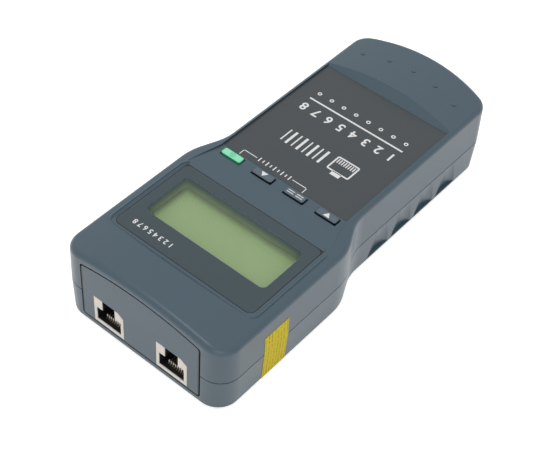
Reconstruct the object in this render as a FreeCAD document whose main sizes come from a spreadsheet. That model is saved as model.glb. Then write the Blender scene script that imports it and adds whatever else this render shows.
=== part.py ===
"""Network cable tester: a hand-held case with two modular sockets, a display and four keys.

The tester lies on its back. +Z is up through the display, the socket end faces -Y and the
handle end +Y. The origin is at the middle of the footprint, on the surface it lies on.
Distances called "from the front" are measured along +Y from the face of the socket panel.
"""
import FreeCAD
import Part
import Sketcher

import math
import operator
import os
from types import SimpleNamespace

# Driving dimensions in millimetres and degrees, one row of the spreadsheet each.
DIMENSIONS = {
    # casing, outside
    "CaseLength": 178.4, "CaseWidth": 80.5, "HandleWidth": 66.8,
    "ShoulderStart": 70, "ShoulderEnd": 84, "EndArc": 92,
    "SplitHeight": 16.3, "SplitGap": 0.4, "CrownTop": 37.7, "CrownArc": 178,
    "UpperDraft": 1, "LowerDraft": 3,
    "FrontCorner": 9, "ShoulderOuter": 22, "ShoulderInner": 18, "EndCorner": 8,
    "TopEdge": 2.4, "BottomEdge": 1.5,
    # casing, inside
    "Wall": 2.2, "Floor": 1.8, "RoofUnder": 31.2, "HandleWallExtra": 2.2, "LipHeight": 1.4,
    "LipDepth": 1.1, "Fit": 0.1,
    # flat area on the face
    "FaceHeight": 34.1, "FlatStart": 20.3, "FlatEnd": 146.3, "FlatHalfWide": 34.7,
    "FrontRamp": 3.1, "BackRamp": 4,
    "PipPitch": 11.75, "PipArch": 70, "PipMiddle": 164.8, "PipRadius": 0.95, "PipHeight": 0.25,
    # window, display and label
    "WindowWidth": 67.7, "WindowStart": 21.5, "WindowEnd": 62.35, "WindowCorner": 3,
    "WindowThick": 1.5, "ViewWidth": 59, "ViewStart": 33.4, "ViewEnd": 57, "SkirtBottom": 29.1,
    "SkirtWall": 1.8, "LabelWidth": 62.1, "LabelStart": 80.1, "LabelThick": 0.3,
    # keys and switches
    "KeyWidth": 9.6, "KeyDepth": 3.4, "KeyPitch": 15.83, "KeyCentre": 77.2, "KeyTop": 35.1,
    "KeyCorner": 0.6, "KeyGap": 0.3, "KeyTravel": 0.4, "SwitchSize": 6, "SwitchTop": 28.4,
    "PlungerTop": 29.4, "PlungerWidth": 3.5, "PlungerDepth": 2.2,
    # socket panel and sockets
    "PanelHalfWide": 29, "PanelBottom": 3.8, "PanelShoulder": 30.4, "PanelArc": 134,
    "PanelThick": 2.6, "PanelGap": 0.6, "FlangeWide": 1.3, "FlangeThick": 1.5,
    "SocketPitch": 31.5, "SocketWidth": 15, "SocketHeight": 13.3, "SocketDepth": 21,
    "ShieldThick": 0.3, "ShieldCutWide": 2.8, "ShieldCutHigh": 1.7, "PlugWidth": 12.2,
    "PlugFloor": 1.6, "PlugHeight": 6.6, "PlugDepth": 13.5, "LatchWidth": 6.4,
    "ContactPitch": 1.02, "ContactWidth": 0.45, "ContactThick": 0.5, "ContactRise": 1.5,
    # boards and display
    "BoardThick": 1.6, "MainBoardTop": 4.4, "DisplayBoardTop": 25,
    "MainBoardWide": 69, "MainBoardStart": 4.6, "MainBoardStep": 70, "MainBoardNarrow": 33,
    "MainBoardEnd": 103, "DisplayBoardWide": 72.8, "DisplayBoardStart": 20,
    "DisplayBoardStep": 68, "DisplayBoardNarrow": 59, "DisplayBoardEnd": 82,
    "GlassWidth": 62, "GlassStart": 31, "GlassEnd": 60, "GlassTop": 28.6, "GlassThick": 2.2,
    "BezelWall": 1, "BezelLip": 0.4, "StripWidth": 1.6,
    "ChipSize": 24, "ChipStart": 38, "ChipThick": 3.6,
    "CrystalX": 17.5, "CrystalStart": 40, "CrystalThick": 4.5, "CrystalLength": 11,
    "CrystalHeight": 12.5, "CanRadius": 3.15, "CanHeight": 11.2,
    "HeaderWidth": 20, "HeaderStart": 64.5, "HeaderDepth": 5, "HeaderBase": 2.5,
    "ReceptacleHeight": 8.5, "PinPitch": 2.54, "PinSize": 0.64,
    # battery bay and door
    "BatteryWidth": 26.5, "BatteryLength": 46.5, "BatteryHeight": 17.5, "BatteryStart": 113.5,
    "BatteryBottom": 3.2, "BatteryCorner": 1.8, "StudPitch": 12.7, "StudRadius": 2.85,
    "StudHeight": 2, "SnapWidth": 25, "SnapHeight": 11, "SnapThick": 1.6, "FoamWidth": 20,
    "FoamThick": 0.9, "LeadRadius": 0.8, "LeadBend": 5, "LeadFoot": 98, "LeadPitch": 6,
    "BayWall": 1.6, "BayStart": 107, "BayEnd": 163, "BayClear": 0.8, "NotchWidth": 10,
    "NotchBottom": 9, "NotchTop": 15, "RestFirst": 122, "RestSecond": 150, "RibThick": 1.5,
    "DoorHalfWide": 24, "DoorStart": 106, "DoorTop": 12, "DoorGap": 0.3, "DoorTravel": 9,
    "TabLength": 6, "TabReach": 1.4, "TabPitch": 17, "TabFirst": 110, "TabBottom": 1.3,
    "TabTop": 2, "RailWidth": 4, "RailTop": 4.2, "RidgeWidth": 16, "RidgeFirst": 112,
    "RidgePitch": 2.4, "RidgeThick": 1.2, "RidgeDepth": 0.5,
    # finger grooves
    "GrooveCount": 4, "GroovePitch": 15.6, "GrooveFirst": 102.4, "GrooveRadius": 16,
    "GrooveDepth": 1.5, "GrooveTilt": 8.5,
    # fasteners and seal
    "ScrewRadius": 1.5, "ScrewHead": 2.8, "ScrewHeadThick": 2, "ScrewLength": 19,
    "SmallScrewRadius": 1, "SmallScrewHead": 2, "SmallScrewHeadThick": 1.4,
    "BoardScrewLength": 3.2, "DisplayScrewLength": 5, "BossRadius": 3.8, "CounterboreDepth": 5,
    "SealStart": 22.5, "SealEnd": 35.7, "SealTop": 25.3, "SealBottom": 1, "SealThick": 0.12,
}

ARITHMETIC = {"+": operator.add, "-": operator.sub, "*": operator.mul, "/": operator.truediv}


class Size:
    """A length or angle of the sheet: its value now, and the expression that keeps it bound."""

    def __init__(self, value, text):
        self.value = value
        self.text = text

    def __add__(self, other):
        return joined(self, "+", other)

    def __radd__(self, other):
        return joined(other, "+", self)

    def __sub__(self, other):
        return joined(self, "-", other)

    def __rsub__(self, other):
        return joined(other, "-", self)

    def __mul__(self, other):
        return joined(self, "*", other)

    def __rmul__(self, other):
        return joined(other, "*", self)

    def __truediv__(self, other):
        return joined(self, "/", other)

    def __neg__(self):
        return joined(0, "-", self)


def as_size(value):
    """A plain number as a Size."""
    return value if isinstance(value, Size) else Size(float(value), f"({value})")


def joined(first, sign, second):
    """Two sizes joined by an arithmetic sign."""
    first, second = as_size(first), as_size(second)
    value = ARITHMETIC[sign](first.value, second.value)
    return Size(value, f"({first.text} {sign} {second.text})")


def root(size):
    """Square root of a size."""
    return Size(math.sqrt(size.value), f"sqrt({size.text})")


def rise(arc, across):
    """How far an arc of radius arc falls away at the distance across from its middle."""
    return arc - root(arc * arc - across * across)


doc = FreeCAD.newDocument("NetworkCableTester")
sheet = doc.addObject("Spreadsheet::Sheet", "Dims")
for row, (name, number) in enumerate(DIMENSIONS.items(), start=1):
    sheet.set(f"A{row}", name)
    sheet.set(f"B{row}", str(number))
    sheet.setAlias(f"B{row}", name)
doc.recompute()
dims = SimpleNamespace(**{name: Size(number, f"Dims.{name}") for name, number in DIMENSIONS.items()})

subparts = {}


def subpart(label, thing):
    """Register an object as a finished piece of the tester."""
    thing.Label = label
    subparts[label] = thing
    return thing


def bind(thing, target, size):
    """Keep a property of an object equal to a size of the sheet."""
    thing.setExpression(target, as_size(size).text)


def from_front(distance):
    """Y of a place given by its distance from the face of the socket panel."""
    return distance - dims.CaseLength / 2


def add(kind, name):
    return doc.addObject(kind, name)


# ---------------------------------------------------------------- solids from Part

def block(name, low, high):
    """Box between two opposite corners."""
    solid = add("Part::Box", name)
    for side, axis, start, end in zip(("Length", "Width", "Height"), "xyz", low, high):
        bind(solid, side, as_size(end) - start)
        bind(solid, f"Placement.Base.{axis}", start)
    return solid


def post(name, centre, radius, low, high):
    """Upright cylinder at centre (x, y) from height low to height high."""
    solid = add("Part::Cylinder", name)
    bind(solid, "Radius", radius)
    bind(solid, "Height", as_size(high) - low)
    for axis, start in zip("xyz", (centre[0], centre[1], low)):
        bind(solid, f"Placement.Base.{axis}", start)
    return solid


def stub(name, centre, radius, low, high, sides=8):
    """Upright prism with few sides round centre (x, y): hidden posts, pilot holes and shanks."""
    solid = add("Part::Prism", name)
    solid.Polygon = sides
    bind(solid, "Circumradius", radius)
    bind(solid, "Height", as_size(high) - low)
    for axis, start in zip("xyz", (centre[0], centre[1], low)):
        bind(solid, f"Placement.Base.{axis}", start)
    return solid


def united(name, *pieces):
    """Several solids fused into one."""
    solid = add("Part::MultiFuse", name)
    solid.Shapes = list(pieces)
    return solid


def without(name, base, *tools):
    """A solid with every tool cut out of it."""
    solid = add("Part::Cut", name)
    solid.Base = base
    solid.Tool = tools[0] if len(tools) == 1 else united(name + "Tools", *tools)
    return solid


def shared(name, first, second):
    """What two solids have in common."""
    solid = add("Part::Common", name)
    solid.Base = first
    solid.Tool = second
    return solid


def group(name, pieces):
    """Separate solids kept together in one node."""
    solid = add("Part::Compound", name)
    solid.Links = list(pieces)
    return solid


# ---------------------------------------------------------------- sketched solids

def origin_plane(body, name):
    for feature in body.Origin.OriginFeatures:
        if feature.Role == name + "_Plane":
            return feature
    raise ValueError(name)


def arc_through(start, end, radius):
    """Arc from start to end, bulging to the right of that direction if radius is positive."""
    bulge = 1 if radius > 0 else -1
    chord = end - start
    left = FreeCAD.Vector(-chord.y, chord.x, 0) / chord.Length
    reach = math.sqrt(radius * radius - chord.Length ** 2 / 4)
    centre = (start + end) * 0.5 + left * reach * bulge
    first, last = (start, end) if bulge > 0 else (end, start)
    low = math.atan2(first.y - centre.y, first.x - centre.x)
    high = math.atan2(last.y - centre.y, last.x - centre.x)
    if high < low:
        high += 2 * math.pi
    circle = Part.Circle(centre, FreeCAD.Vector(0, 0, 1), abs(radius))
    return Part.ArcOfCircle(circle, low, high)


def sketch(body, name, plane, points, offset, arcs=None, closed=True):
    """Outline through points, anticlockwise; arcs gives the radius of the sides that are round."""
    arcs = arcs or {}
    drawing = body.newObject("Sketcher::SketchObject", name)
    drawing.AttachmentSupport = (origin_plane(body, plane), [""])
    drawing.MapMode = "FlatFace"
    bind(drawing, "AttachmentOffset.Base.z", offset)
    corners = [(as_size(across), as_size(up)) for across, up in points]
    places = [FreeCAD.Vector(across.value, up.value, 0) for across, up in corners]
    sides = []
    for index in range(len(places) if closed else len(places) - 1):
        start, end = places[index], places[(index + 1) % len(places)]
        if index in arcs:
            radius = as_size(arcs[index])
            side = drawing.addGeometry(arc_through(start, end, radius.value))
            place = drawing.addConstraint(Sketcher.Constraint("Radius", side, abs(radius.value)))
            bind(drawing, f"Constraints[{place}]", radius if radius.value > 0 else -radius)
            sides.append((side, 1, 2) if radius.value > 0 else (side, 2, 1))
        else:
            side = drawing.addGeometry(Part.LineSegment(start, end))
            sides.append((side, 1, 2))
    for index, (side, start_point, end_point) in enumerate(sides):
        before, _, before_end = sides[index - 1]
        if closed or index > 0:
            drawing.addConstraint(
                Sketcher.Constraint("Coincident", before, before_end, side, start_point))
        fix_point(drawing, side, start_point, corners[index])
    if not closed:
        fix_point(drawing, sides[-1][0], sides[-1][2], corners[-1])
    return drawing


def fix_point(drawing, side, end, corner):
    """Hold one end of a side at its place in the sketch."""
    for kind, distance in zip(("DistanceX", "DistanceY"), corner):
        place = drawing.addConstraint(Sketcher.Constraint(kind, side, end, distance.value))
        bind(drawing, f"Constraints[{place}]", distance)


def along_normal(plane, low, high):
    """Range low to high along the global axis, as offsets along the plane's own normal."""
    return (-as_size(high), -as_size(low)) if plane == "XZ" else (as_size(low), as_size(high))


def pad(body, name, plane, points, low, high, arcs=None):
    """Outline extruded from low to high along the axis that its plane faces."""
    start, end = along_normal(plane, low, high)
    feature = body.newObject("PartDesign::Pad", name)
    feature.Profile = sketch(body, name + "Outline", plane, points, start, arcs)
    bind(feature, "Length", end - start)
    return feature


def pocket(body, name, plane, points, low, high, arcs=None):
    """Outline cut away from high down to low along the axis that its plane faces."""
    start, end = along_normal(plane, low, high)
    doc.recompute()
    volume = body.Shape.Volume
    feature = body.newObject("PartDesign::Pocket", name)
    feature.Profile = sketch(body, name + "Outline", plane, points, end, arcs)
    bind(feature, "Length", end - start)
    doc.recompute()
    if not feature.Shape.Volume < volume - 0.01:
        raise RuntimeError(f"{name} cuts nothing")
    return feature


def rounded(body, name, feature, radius, chosen):
    """Fillet on the edges of a feature that chosen picks."""
    doc.recompute()
    edges = [f"Edge{place}" for place, edge in enumerate(feature.Shape.Edges, start=1) if chosen(edge)]
    fillet = body.newObject("PartDesign::Fillet", name)
    fillet.Base = (feature, edges)
    bind(fillet, "Radius", radius)
    return fillet


def bevelled(body, name, feature, size, chosen):
    """Chamfer on the edges of a feature that chosen picks."""
    doc.recompute()
    edges = [f"Edge{place}" for place, edge in enumerate(feature.Shape.Edges, start=1) if chosen(edge)]
    chamfer = body.newObject("PartDesign::Chamfer", name)
    chamfer.Base = (feature, edges)
    bind(chamfer, "Size", size)
    return chamfer


def upright(edge):
    """True for an edge that runs mostly along Z."""
    first, last = edge.Vertexes[0].Point, edge.Vertexes[-1].Point
    return abs(first.z - last.z) > 0.9 * (first - last).Length > 0.5


def upright_near(x, y):
    """Test for upright edges close to (+-x, y)."""
    def chosen(edge):
        middle = edge.CenterOfMass
        return upright(edge) and abs(abs(middle.x) - x.value) < 2.5 and abs(middle.y - y.value) < 3
    return chosen


def prism(name, plane, points, low, high, arcs=None, corner=None, corner_test=None):
    """Body made of one pad, with fillets of radius corner on the edges along the pad."""
    body = add("PartDesign::Body", name)
    feature = pad(body, name + "Pad", plane, points, low, high, arcs)
    if corner is not None:
        axis = {"XY": "z", "XZ": "y", "YZ": "x"}[plane]

        def along_pad(edge):
            span = edge.Vertexes[-1].Point - edge.Vertexes[0].Point
            lengthwise = abs(getattr(span, axis)) > 0.9 * span.Length > 0
            return lengthwise and (corner_test is None or corner_test(edge.CenterOfMass))
        rounded(body, name + "Corners", feature, corner, along_pad)
    return body


def rectangle(half_wide, start, end):
    """Four corners, symmetrical across, anticlockwise."""
    return [(half_wide, start), (half_wide, end), (-as_size(half_wide), end),
            (-as_size(half_wide), start)]


# ---------------------------------------------------------------- casing forms

BEYOND = 60       # reach of cutting tools past the casing


def casing_plan(inset, handle_inset):
    """Plan of the casing at the split: wide display end, shoulders, handle, arched end."""
    half_wide = dims.CaseWidth / 2 - inset
    handle = dims.HandleWidth / 2 - inset - handle_inset
    end_arc = dims.EndArc - inset
    corner = from_front(dims.CaseLength) - inset - rise(end_arc, handle)
    start = from_front(inset)
    shoulder_start = from_front(dims.ShoulderStart)
    shoulder_end = from_front(dims.ShoulderEnd)
    right = [(half_wide, start), (half_wide, shoulder_start), (handle, shoulder_end), (handle, corner)]
    left = [(-across, along) for across, along in reversed(right)]
    return right + left, {3: end_arc}, (half_wide, handle, corner)


def round_front(body, name, feature, inset, sharp):
    """Round the two corners at the socket end of a casing form."""
    chosen = upright_near(sharp[0], from_front(inset))
    return rounded(body, name + "FrontCorners", feature, dims.FrontCorner - inset, chosen)


def round_handle(body, name, feature, inset, sharp):
    """Round the shoulders and the end corners of a casing form."""
    half_wide, handle, corner = sharp
    rounding = [
        ("OuterShoulders", dims.ShoulderOuter - inset, half_wide, from_front(dims.ShoulderStart)),
        ("InnerShoulders", dims.ShoulderInner + inset, handle, from_front(dims.ShoulderEnd)),
        ("EndCorners", dims.EndCorner - inset, handle, corner),
    ]
    for place, radius, across, along in rounding:
        feature = rounded(body, name + place, feature, radius, upright_near(across, along))
    return feature


def casing_ring(name, outer_inset, inner_inset, low, high):
    """Upright ring that follows the casing's plan between two insets."""
    forms = []
    for word, inset in (("Outside", outer_inset), ("Inside", inner_inset)):
        outline, arcs, sharp = casing_plan(inset, 0)
        body = add("PartDesign::Body", name + word)
        feature = pad(body, name + word + "Pad", "XY", outline, low, high, arcs)
        feature = round_handle(body, name + word, feature, inset, sharp)
        round_front(body, name + word, feature, inset, sharp)
        forms.append(body)
    return without(name, *forms)


def casing_form(name, upper, inset=0, handle_inset=0, ending=None):
    """Half of the moulded outer form, shrunk by inset, from the split to its top or bottom.

    The side walls lean in by the moulding draft and the socket end stays upright. The outer
    form of the upper half is crowned across its width. An inner form ends flat, at ending.
    """
    outline, arcs, sharp = casing_plan(inset, handle_inset)
    body = add("PartDesign::Body", name)
    feature = body.newObject("PartDesign::Pad", name + "Walls")
    feature.Profile = sketch(body, name + "Plan", "XY", outline, dims.SplitHeight, arcs)
    if upper:
        top = dims.CrownTop + 2 if ending is None else ending
        bind(feature, "Length", top - dims.SplitHeight)
    else:
        bottom = 0 if ending is None else ending
        bind(feature, "Length", dims.SplitHeight - bottom)
        feature.Reversed = True
    feature = round_handle(body, name, feature, inset, sharp)
    feature = drafted(body, name + "Draft", feature, upper)
    feature = round_front(body, name, feature, inset, sharp)
    if upper and ending is None:
        reach = dims.CaseWidth * 0.6
        side = dims.CrownTop - rise(dims.CrownArc, reach)
        feature = pocket(body, name + "Crown", "XZ",
                         [(reach, side), (reach, BEYOND), (-reach, BEYOND), (-reach, side)],
                         -dims.CaseLength, dims.CaseLength, {3: -dims.CrownArc})
        highest = dims.FaceHeight.value - 3
        rounded(body, name + "TopEdge", feature, dims.TopEdge, lambda edge: (
            not upright(edge) and all(vertex.Point.z > highest for vertex in edge.Vertexes)))
    if not upper and ending is None:
        bevelled(body, name + "BottomEdge", feature, dims.BottomEdge, lambda edge: all(
            vertex.Point.z < 0.01 for vertex in edge.Vertexes))
    return body


def drafted(body, name, feature, upper):
    """Lean every wall but the socket end in by the moulding draft, away from the split."""
    doc.recompute()
    walls, split = [], None
    for place, face in enumerate(feature.Shape.Faces, start=1):
        box = face.BoundBox
        if box.ZLength > 1 and box.YLength > 0.01 and box.YMax > from_front(1).value:
            walls.append(f"Face{place}")
        if box.ZLength < 0.01 and abs(box.ZMin - dims.SplitHeight.value) < 0.01:
            split = f"Face{place}"
    volume = feature.Shape.Volume
    draft = body.newObject("PartDesign::Draft", name)
    draft.Base = (feature, walls)
    draft.NeutralPlane = (feature, [split])
    bind(draft, "Angle", dims.UpperDraft if upper else dims.LowerDraft)
    doc.recompute()
    if draft.Shape.Volume > volume:
        draft.Reversed = True
        doc.recompute()
    if not draft.Shape.Volume < volume - 1:
        raise RuntimeError(f"{name} does not lean in")
    return draft


def panel_outline(margin):
    """Outline of the socket panel seen from the front, grown by margin: flat, with an arched top."""
    half_wide = dims.PanelHalfWide + margin
    points = [(half_wide, dims.PanelBottom - margin), (half_wide, dims.PanelShoulder + margin),
              (-half_wide, dims.PanelShoulder + margin), (-half_wide, dims.PanelBottom - margin)]
    return points, {1: dims.PanelArc + margin}


def panel_prism(name, margin, start, end):
    """Panel-shaped solid between two distances from the front."""
    points, arcs = panel_outline(margin)
    return prism(name, "XZ", points, from_front(start), from_front(end), arcs,
                 corner=1.2 + as_size(margin))


def both_sides(x, y):
    return [(as_size(x), y), (-as_size(x), y)]


CASE_SCREWS = both_sides(32.4, from_front(15.5)) + both_sides(21.5, from_front(93))
BOARD_SCREWS = both_sides(30, from_front(33))
DISPLAY_SCREWS = both_sides(34, from_front(27)) + both_sides(34, from_front(64.5))


def posts(name, centres, radius, low, high, form=stub):
    """The same upright post at several places."""
    return [form(f"{name}{place}", centre, radius, low, high)
            for place, centre in enumerate(centres, start=1)]


# ---------------------------------------------------------------- front casing

def key_centres():
    """X of the four keys, from the power key to the last."""
    return [dims.KeyPitch * step for step in (-1.5, -0.5, 0.5, 1.5)]


def flat_area():
    """Cutter for the flat area of the face, with its ramps up to the crown at both ends."""
    label_half = dims.LabelWidth / 2
    start, end = from_front(dims.FlatStart), from_front(dims.FlatEnd)
    narrowing = from_front(dims.ShoulderStart - 4), from_front(dims.ShoulderEnd - 5)
    right = [(dims.FlatHalfWide, start - 10), (dims.FlatHalfWide, narrowing[0]),
             (label_half, narrowing[1]), (label_half, end + 10)]
    plan = prism("FlatPlan", "XY", right + [(-across, along) for across, along in reversed(right)],
                 dims.FaceHeight, BEYOND)
    height = dims.CrownTop - dims.FaceHeight
    steps = 3
    profile = [(start, dims.FaceHeight), (end, dims.FaceHeight),
               (end + dims.BackRamp * steps, dims.FaceHeight + height * steps),
               (start - dims.FrontRamp * steps, dims.FaceHeight + height * steps)]
    ramps = prism("FlatRamps", "YZ", profile, -dims.CaseWidth, dims.CaseWidth)
    return shared("FlatArea", plan, ramps)


def front_corners_of(start):
    """Test for the corners at the socket end of an opening that starts at start."""
    return lambda middle: middle.y < start.value + 1


def front_casing():
    """Upper shell: crowned roof with window, display opening, label recess and key slots."""
    gap = dims.SplitGap / 2
    outer = casing_form("FrontOuter", upper=True)
    hollow = casing_form("FrontHollow", upper=True, inset=dims.Wall, ending=dims.RoofUnder)
    rebate = casing_ring("FrontRebate", dims.LipDepth - dims.Fit, dims.Wall + 1,
                         dims.SplitHeight - 1, dims.SplitHeight + gap + dims.LipHeight + 0.2)
    half_window = dims.WindowWidth / 2 + dims.Fit
    window_start = from_front(dims.WindowStart - dims.Fit)
    window = prism("WindowRecess", "XY",
                   rectangle(half_window, window_start, from_front(dims.WindowEnd + dims.Fit)),
                   dims.FaceHeight - dims.WindowThick, dims.CrownTop,
                   corner=dims.WindowCorner, corner_test=front_corners_of(window_start))
    view_start, view_end = from_front(dims.ViewStart), from_front(dims.ViewEnd)
    view = prism("ViewOpening", "XY", rectangle(dims.ViewWidth / 2, view_start, view_end),
                 dims.SkirtBottom - 1, dims.CrownTop, corner=2.5,
                 corner_test=front_corners_of(view_start))
    skirt_half = dims.ViewWidth / 2 + dims.SkirtWall
    skirt = block("ViewSkirt", (-skirt_half, view_start - dims.SkirtWall, dims.SkirtBottom),
                  (skirt_half, view_end + dims.SkirtWall, dims.RoofUnder + 0.5))
    half_label = dims.LabelWidth / 2
    label = block("LabelRecess",
                  (-half_label, from_front(dims.LabelStart), dims.FaceHeight - dims.LabelThick),
                  (half_label, from_front(dims.FlatEnd), dims.FaceHeight + 0.5))
    slots = []
    for place, across in enumerate(key_centres(), start=1):
        half_wide = dims.KeyWidth / 2 + dims.KeyGap
        half_deep = dims.KeyDepth / 2 + dims.KeyGap
        middle = from_front(dims.KeyCentre)
        slots.append(block(f"KeySlot{place}",
                           (across - half_wide, middle - half_deep, dims.RoofUnder - 2),
                           (across + half_wide, middle + half_deep, dims.CrownTop)))
    opening = panel_prism("FrontPanelOpening", dims.PanelGap, -5, dims.PanelThick - dims.Fit)
    flange_room = panel_prism("FrontFlangeRoom", dims.FlangeWide + 0.2, dims.PanelThick - dims.Fit,
                              dims.PanelThick + dims.FlangeThick + dims.Fit)
    split_room = block("UpperSplitRoom", (-BEYOND, -2 * BEYOND, dims.SplitHeight - 1),
                       (BEYOND, 2 * BEYOND, dims.SplitHeight + gap))
    boss_low = dims.SplitHeight + gap + 1
    bosses = posts("FrontBoss", CASE_SCREWS, dims.BossRadius, boss_low, dims.RoofUnder + 0.3)
    display_posts = posts("DisplayBoss", DISPLAY_SCREWS, dims.SmallScrewHead + 0.2,
                          dims.DisplayBoardTop, dims.RoofUnder + 0.3)
    pilots = posts("FrontPilot", CASE_SCREWS, dims.ScrewRadius, boss_low - 1, boss_low + 9)
    pilots += posts("DisplayPilot", DISPLAY_SCREWS, dims.SmallScrewRadius,
                    dims.DisplayBoardTop - 1, dims.DisplayBoardTop + dims.DisplayScrewLength)
    shell = without("FrontShell", outer, hollow, rebate, flange_room)
    fitted = united("FrontFitted", shell, skirt, *bosses, *display_posts)
    dots = [pip(place, across, along) for place, (across, along) in enumerate(end_pips(), start=1)]
    moulded = without("FrontCut", fitted, flat_area(), window, view, label, opening, split_room,
                      *slots, *pilots)
    subpart("front_casing", united("FrontCasing", moulded, *dots))


def end_pips():
    """Places of the five moulded pips behind the label, set on an arch."""
    for step in (-2, -1, 0, 1, 2):
        across = dims.PipPitch * step
        yield across, dims.PipMiddle - rise(dims.PipArch, across)


def pip(place, across, along):
    """Shallow moulded stud on the crowned face."""
    face = dims.CrownTop - rise(dims.CrownArc, as_size(across))
    return stub(f"Pip{place}", (across, from_front(along)), dims.PipRadius, face - dims.Wall / 2,
                face + dims.PipHeight, sides=12)


# ---------------------------------------------------------------- rear casing and door

def finger_grooves():
    """Round scoops down both sides of the handle that fade out below the split."""
    grooves = []
    for side in (-1, 1):
        for step in range(int(dims.GrooveCount.value)):
            groove = add("Part::Cylinder", f"Groove{'LR'[side > 0]}{step}")
            bind(groove, "Radius", dims.GrooveRadius)
            bind(groove, "Height", dims.SplitHeight * 3)
            tilt = FreeCAD.Rotation(FreeCAD.Vector(0, 1, 0), side * dims.GrooveTilt.value)
            groove.Placement = FreeCAD.Placement(FreeCAD.Vector(), tilt)
            reach = dims.HandleWidth / 2 - 0.9 - dims.GrooveDepth + dims.GrooveRadius
            bind(groove, "Placement.Base.x", reach * side)
            bind(groove, "Placement.Base.y", from_front(dims.GrooveFirst + dims.GroovePitch * step))
            bind(groove, "Placement.Base.z", 0)
            grooves.append(without(f"GrooveEnd{'LR'[side > 0]}{step}", groove, block(
                f"GrooveStop{'LR'[side > 0]}{step}",
                (-2 * BEYOND, -2 * BEYOND, dims.SplitHeight - 0.8),
                (2 * BEYOND, 2 * BEYOND, dims.SplitHeight * 4))))
    return grooves


def door_region(name, margin):
    """Room that the battery door takes up in the lower shell, grown by margin."""
    return block(name, (-(dims.DoorHalfWide + margin), from_front(dims.DoorStart - margin), -1),
                 (dims.DoorHalfWide + margin, BEYOND * 2, dims.DoorTop + margin))


def tab_starts():
    """Distances from the front of the door's three tabs on each side."""
    return [dims.TabFirst + dims.TabPitch * step for step in range(3)]


def battery_rests():
    """Distances from the front of the ribs and pads that hold the battery."""
    return dims.RestFirst, dims.RestSecond


def one_side(side, inner, outer):
    """Low and high X of a piece between inner and outer, on the side +1 or -1."""
    return (inner, outer) if side > 0 else (-as_size(outer), -as_size(inner))


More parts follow.
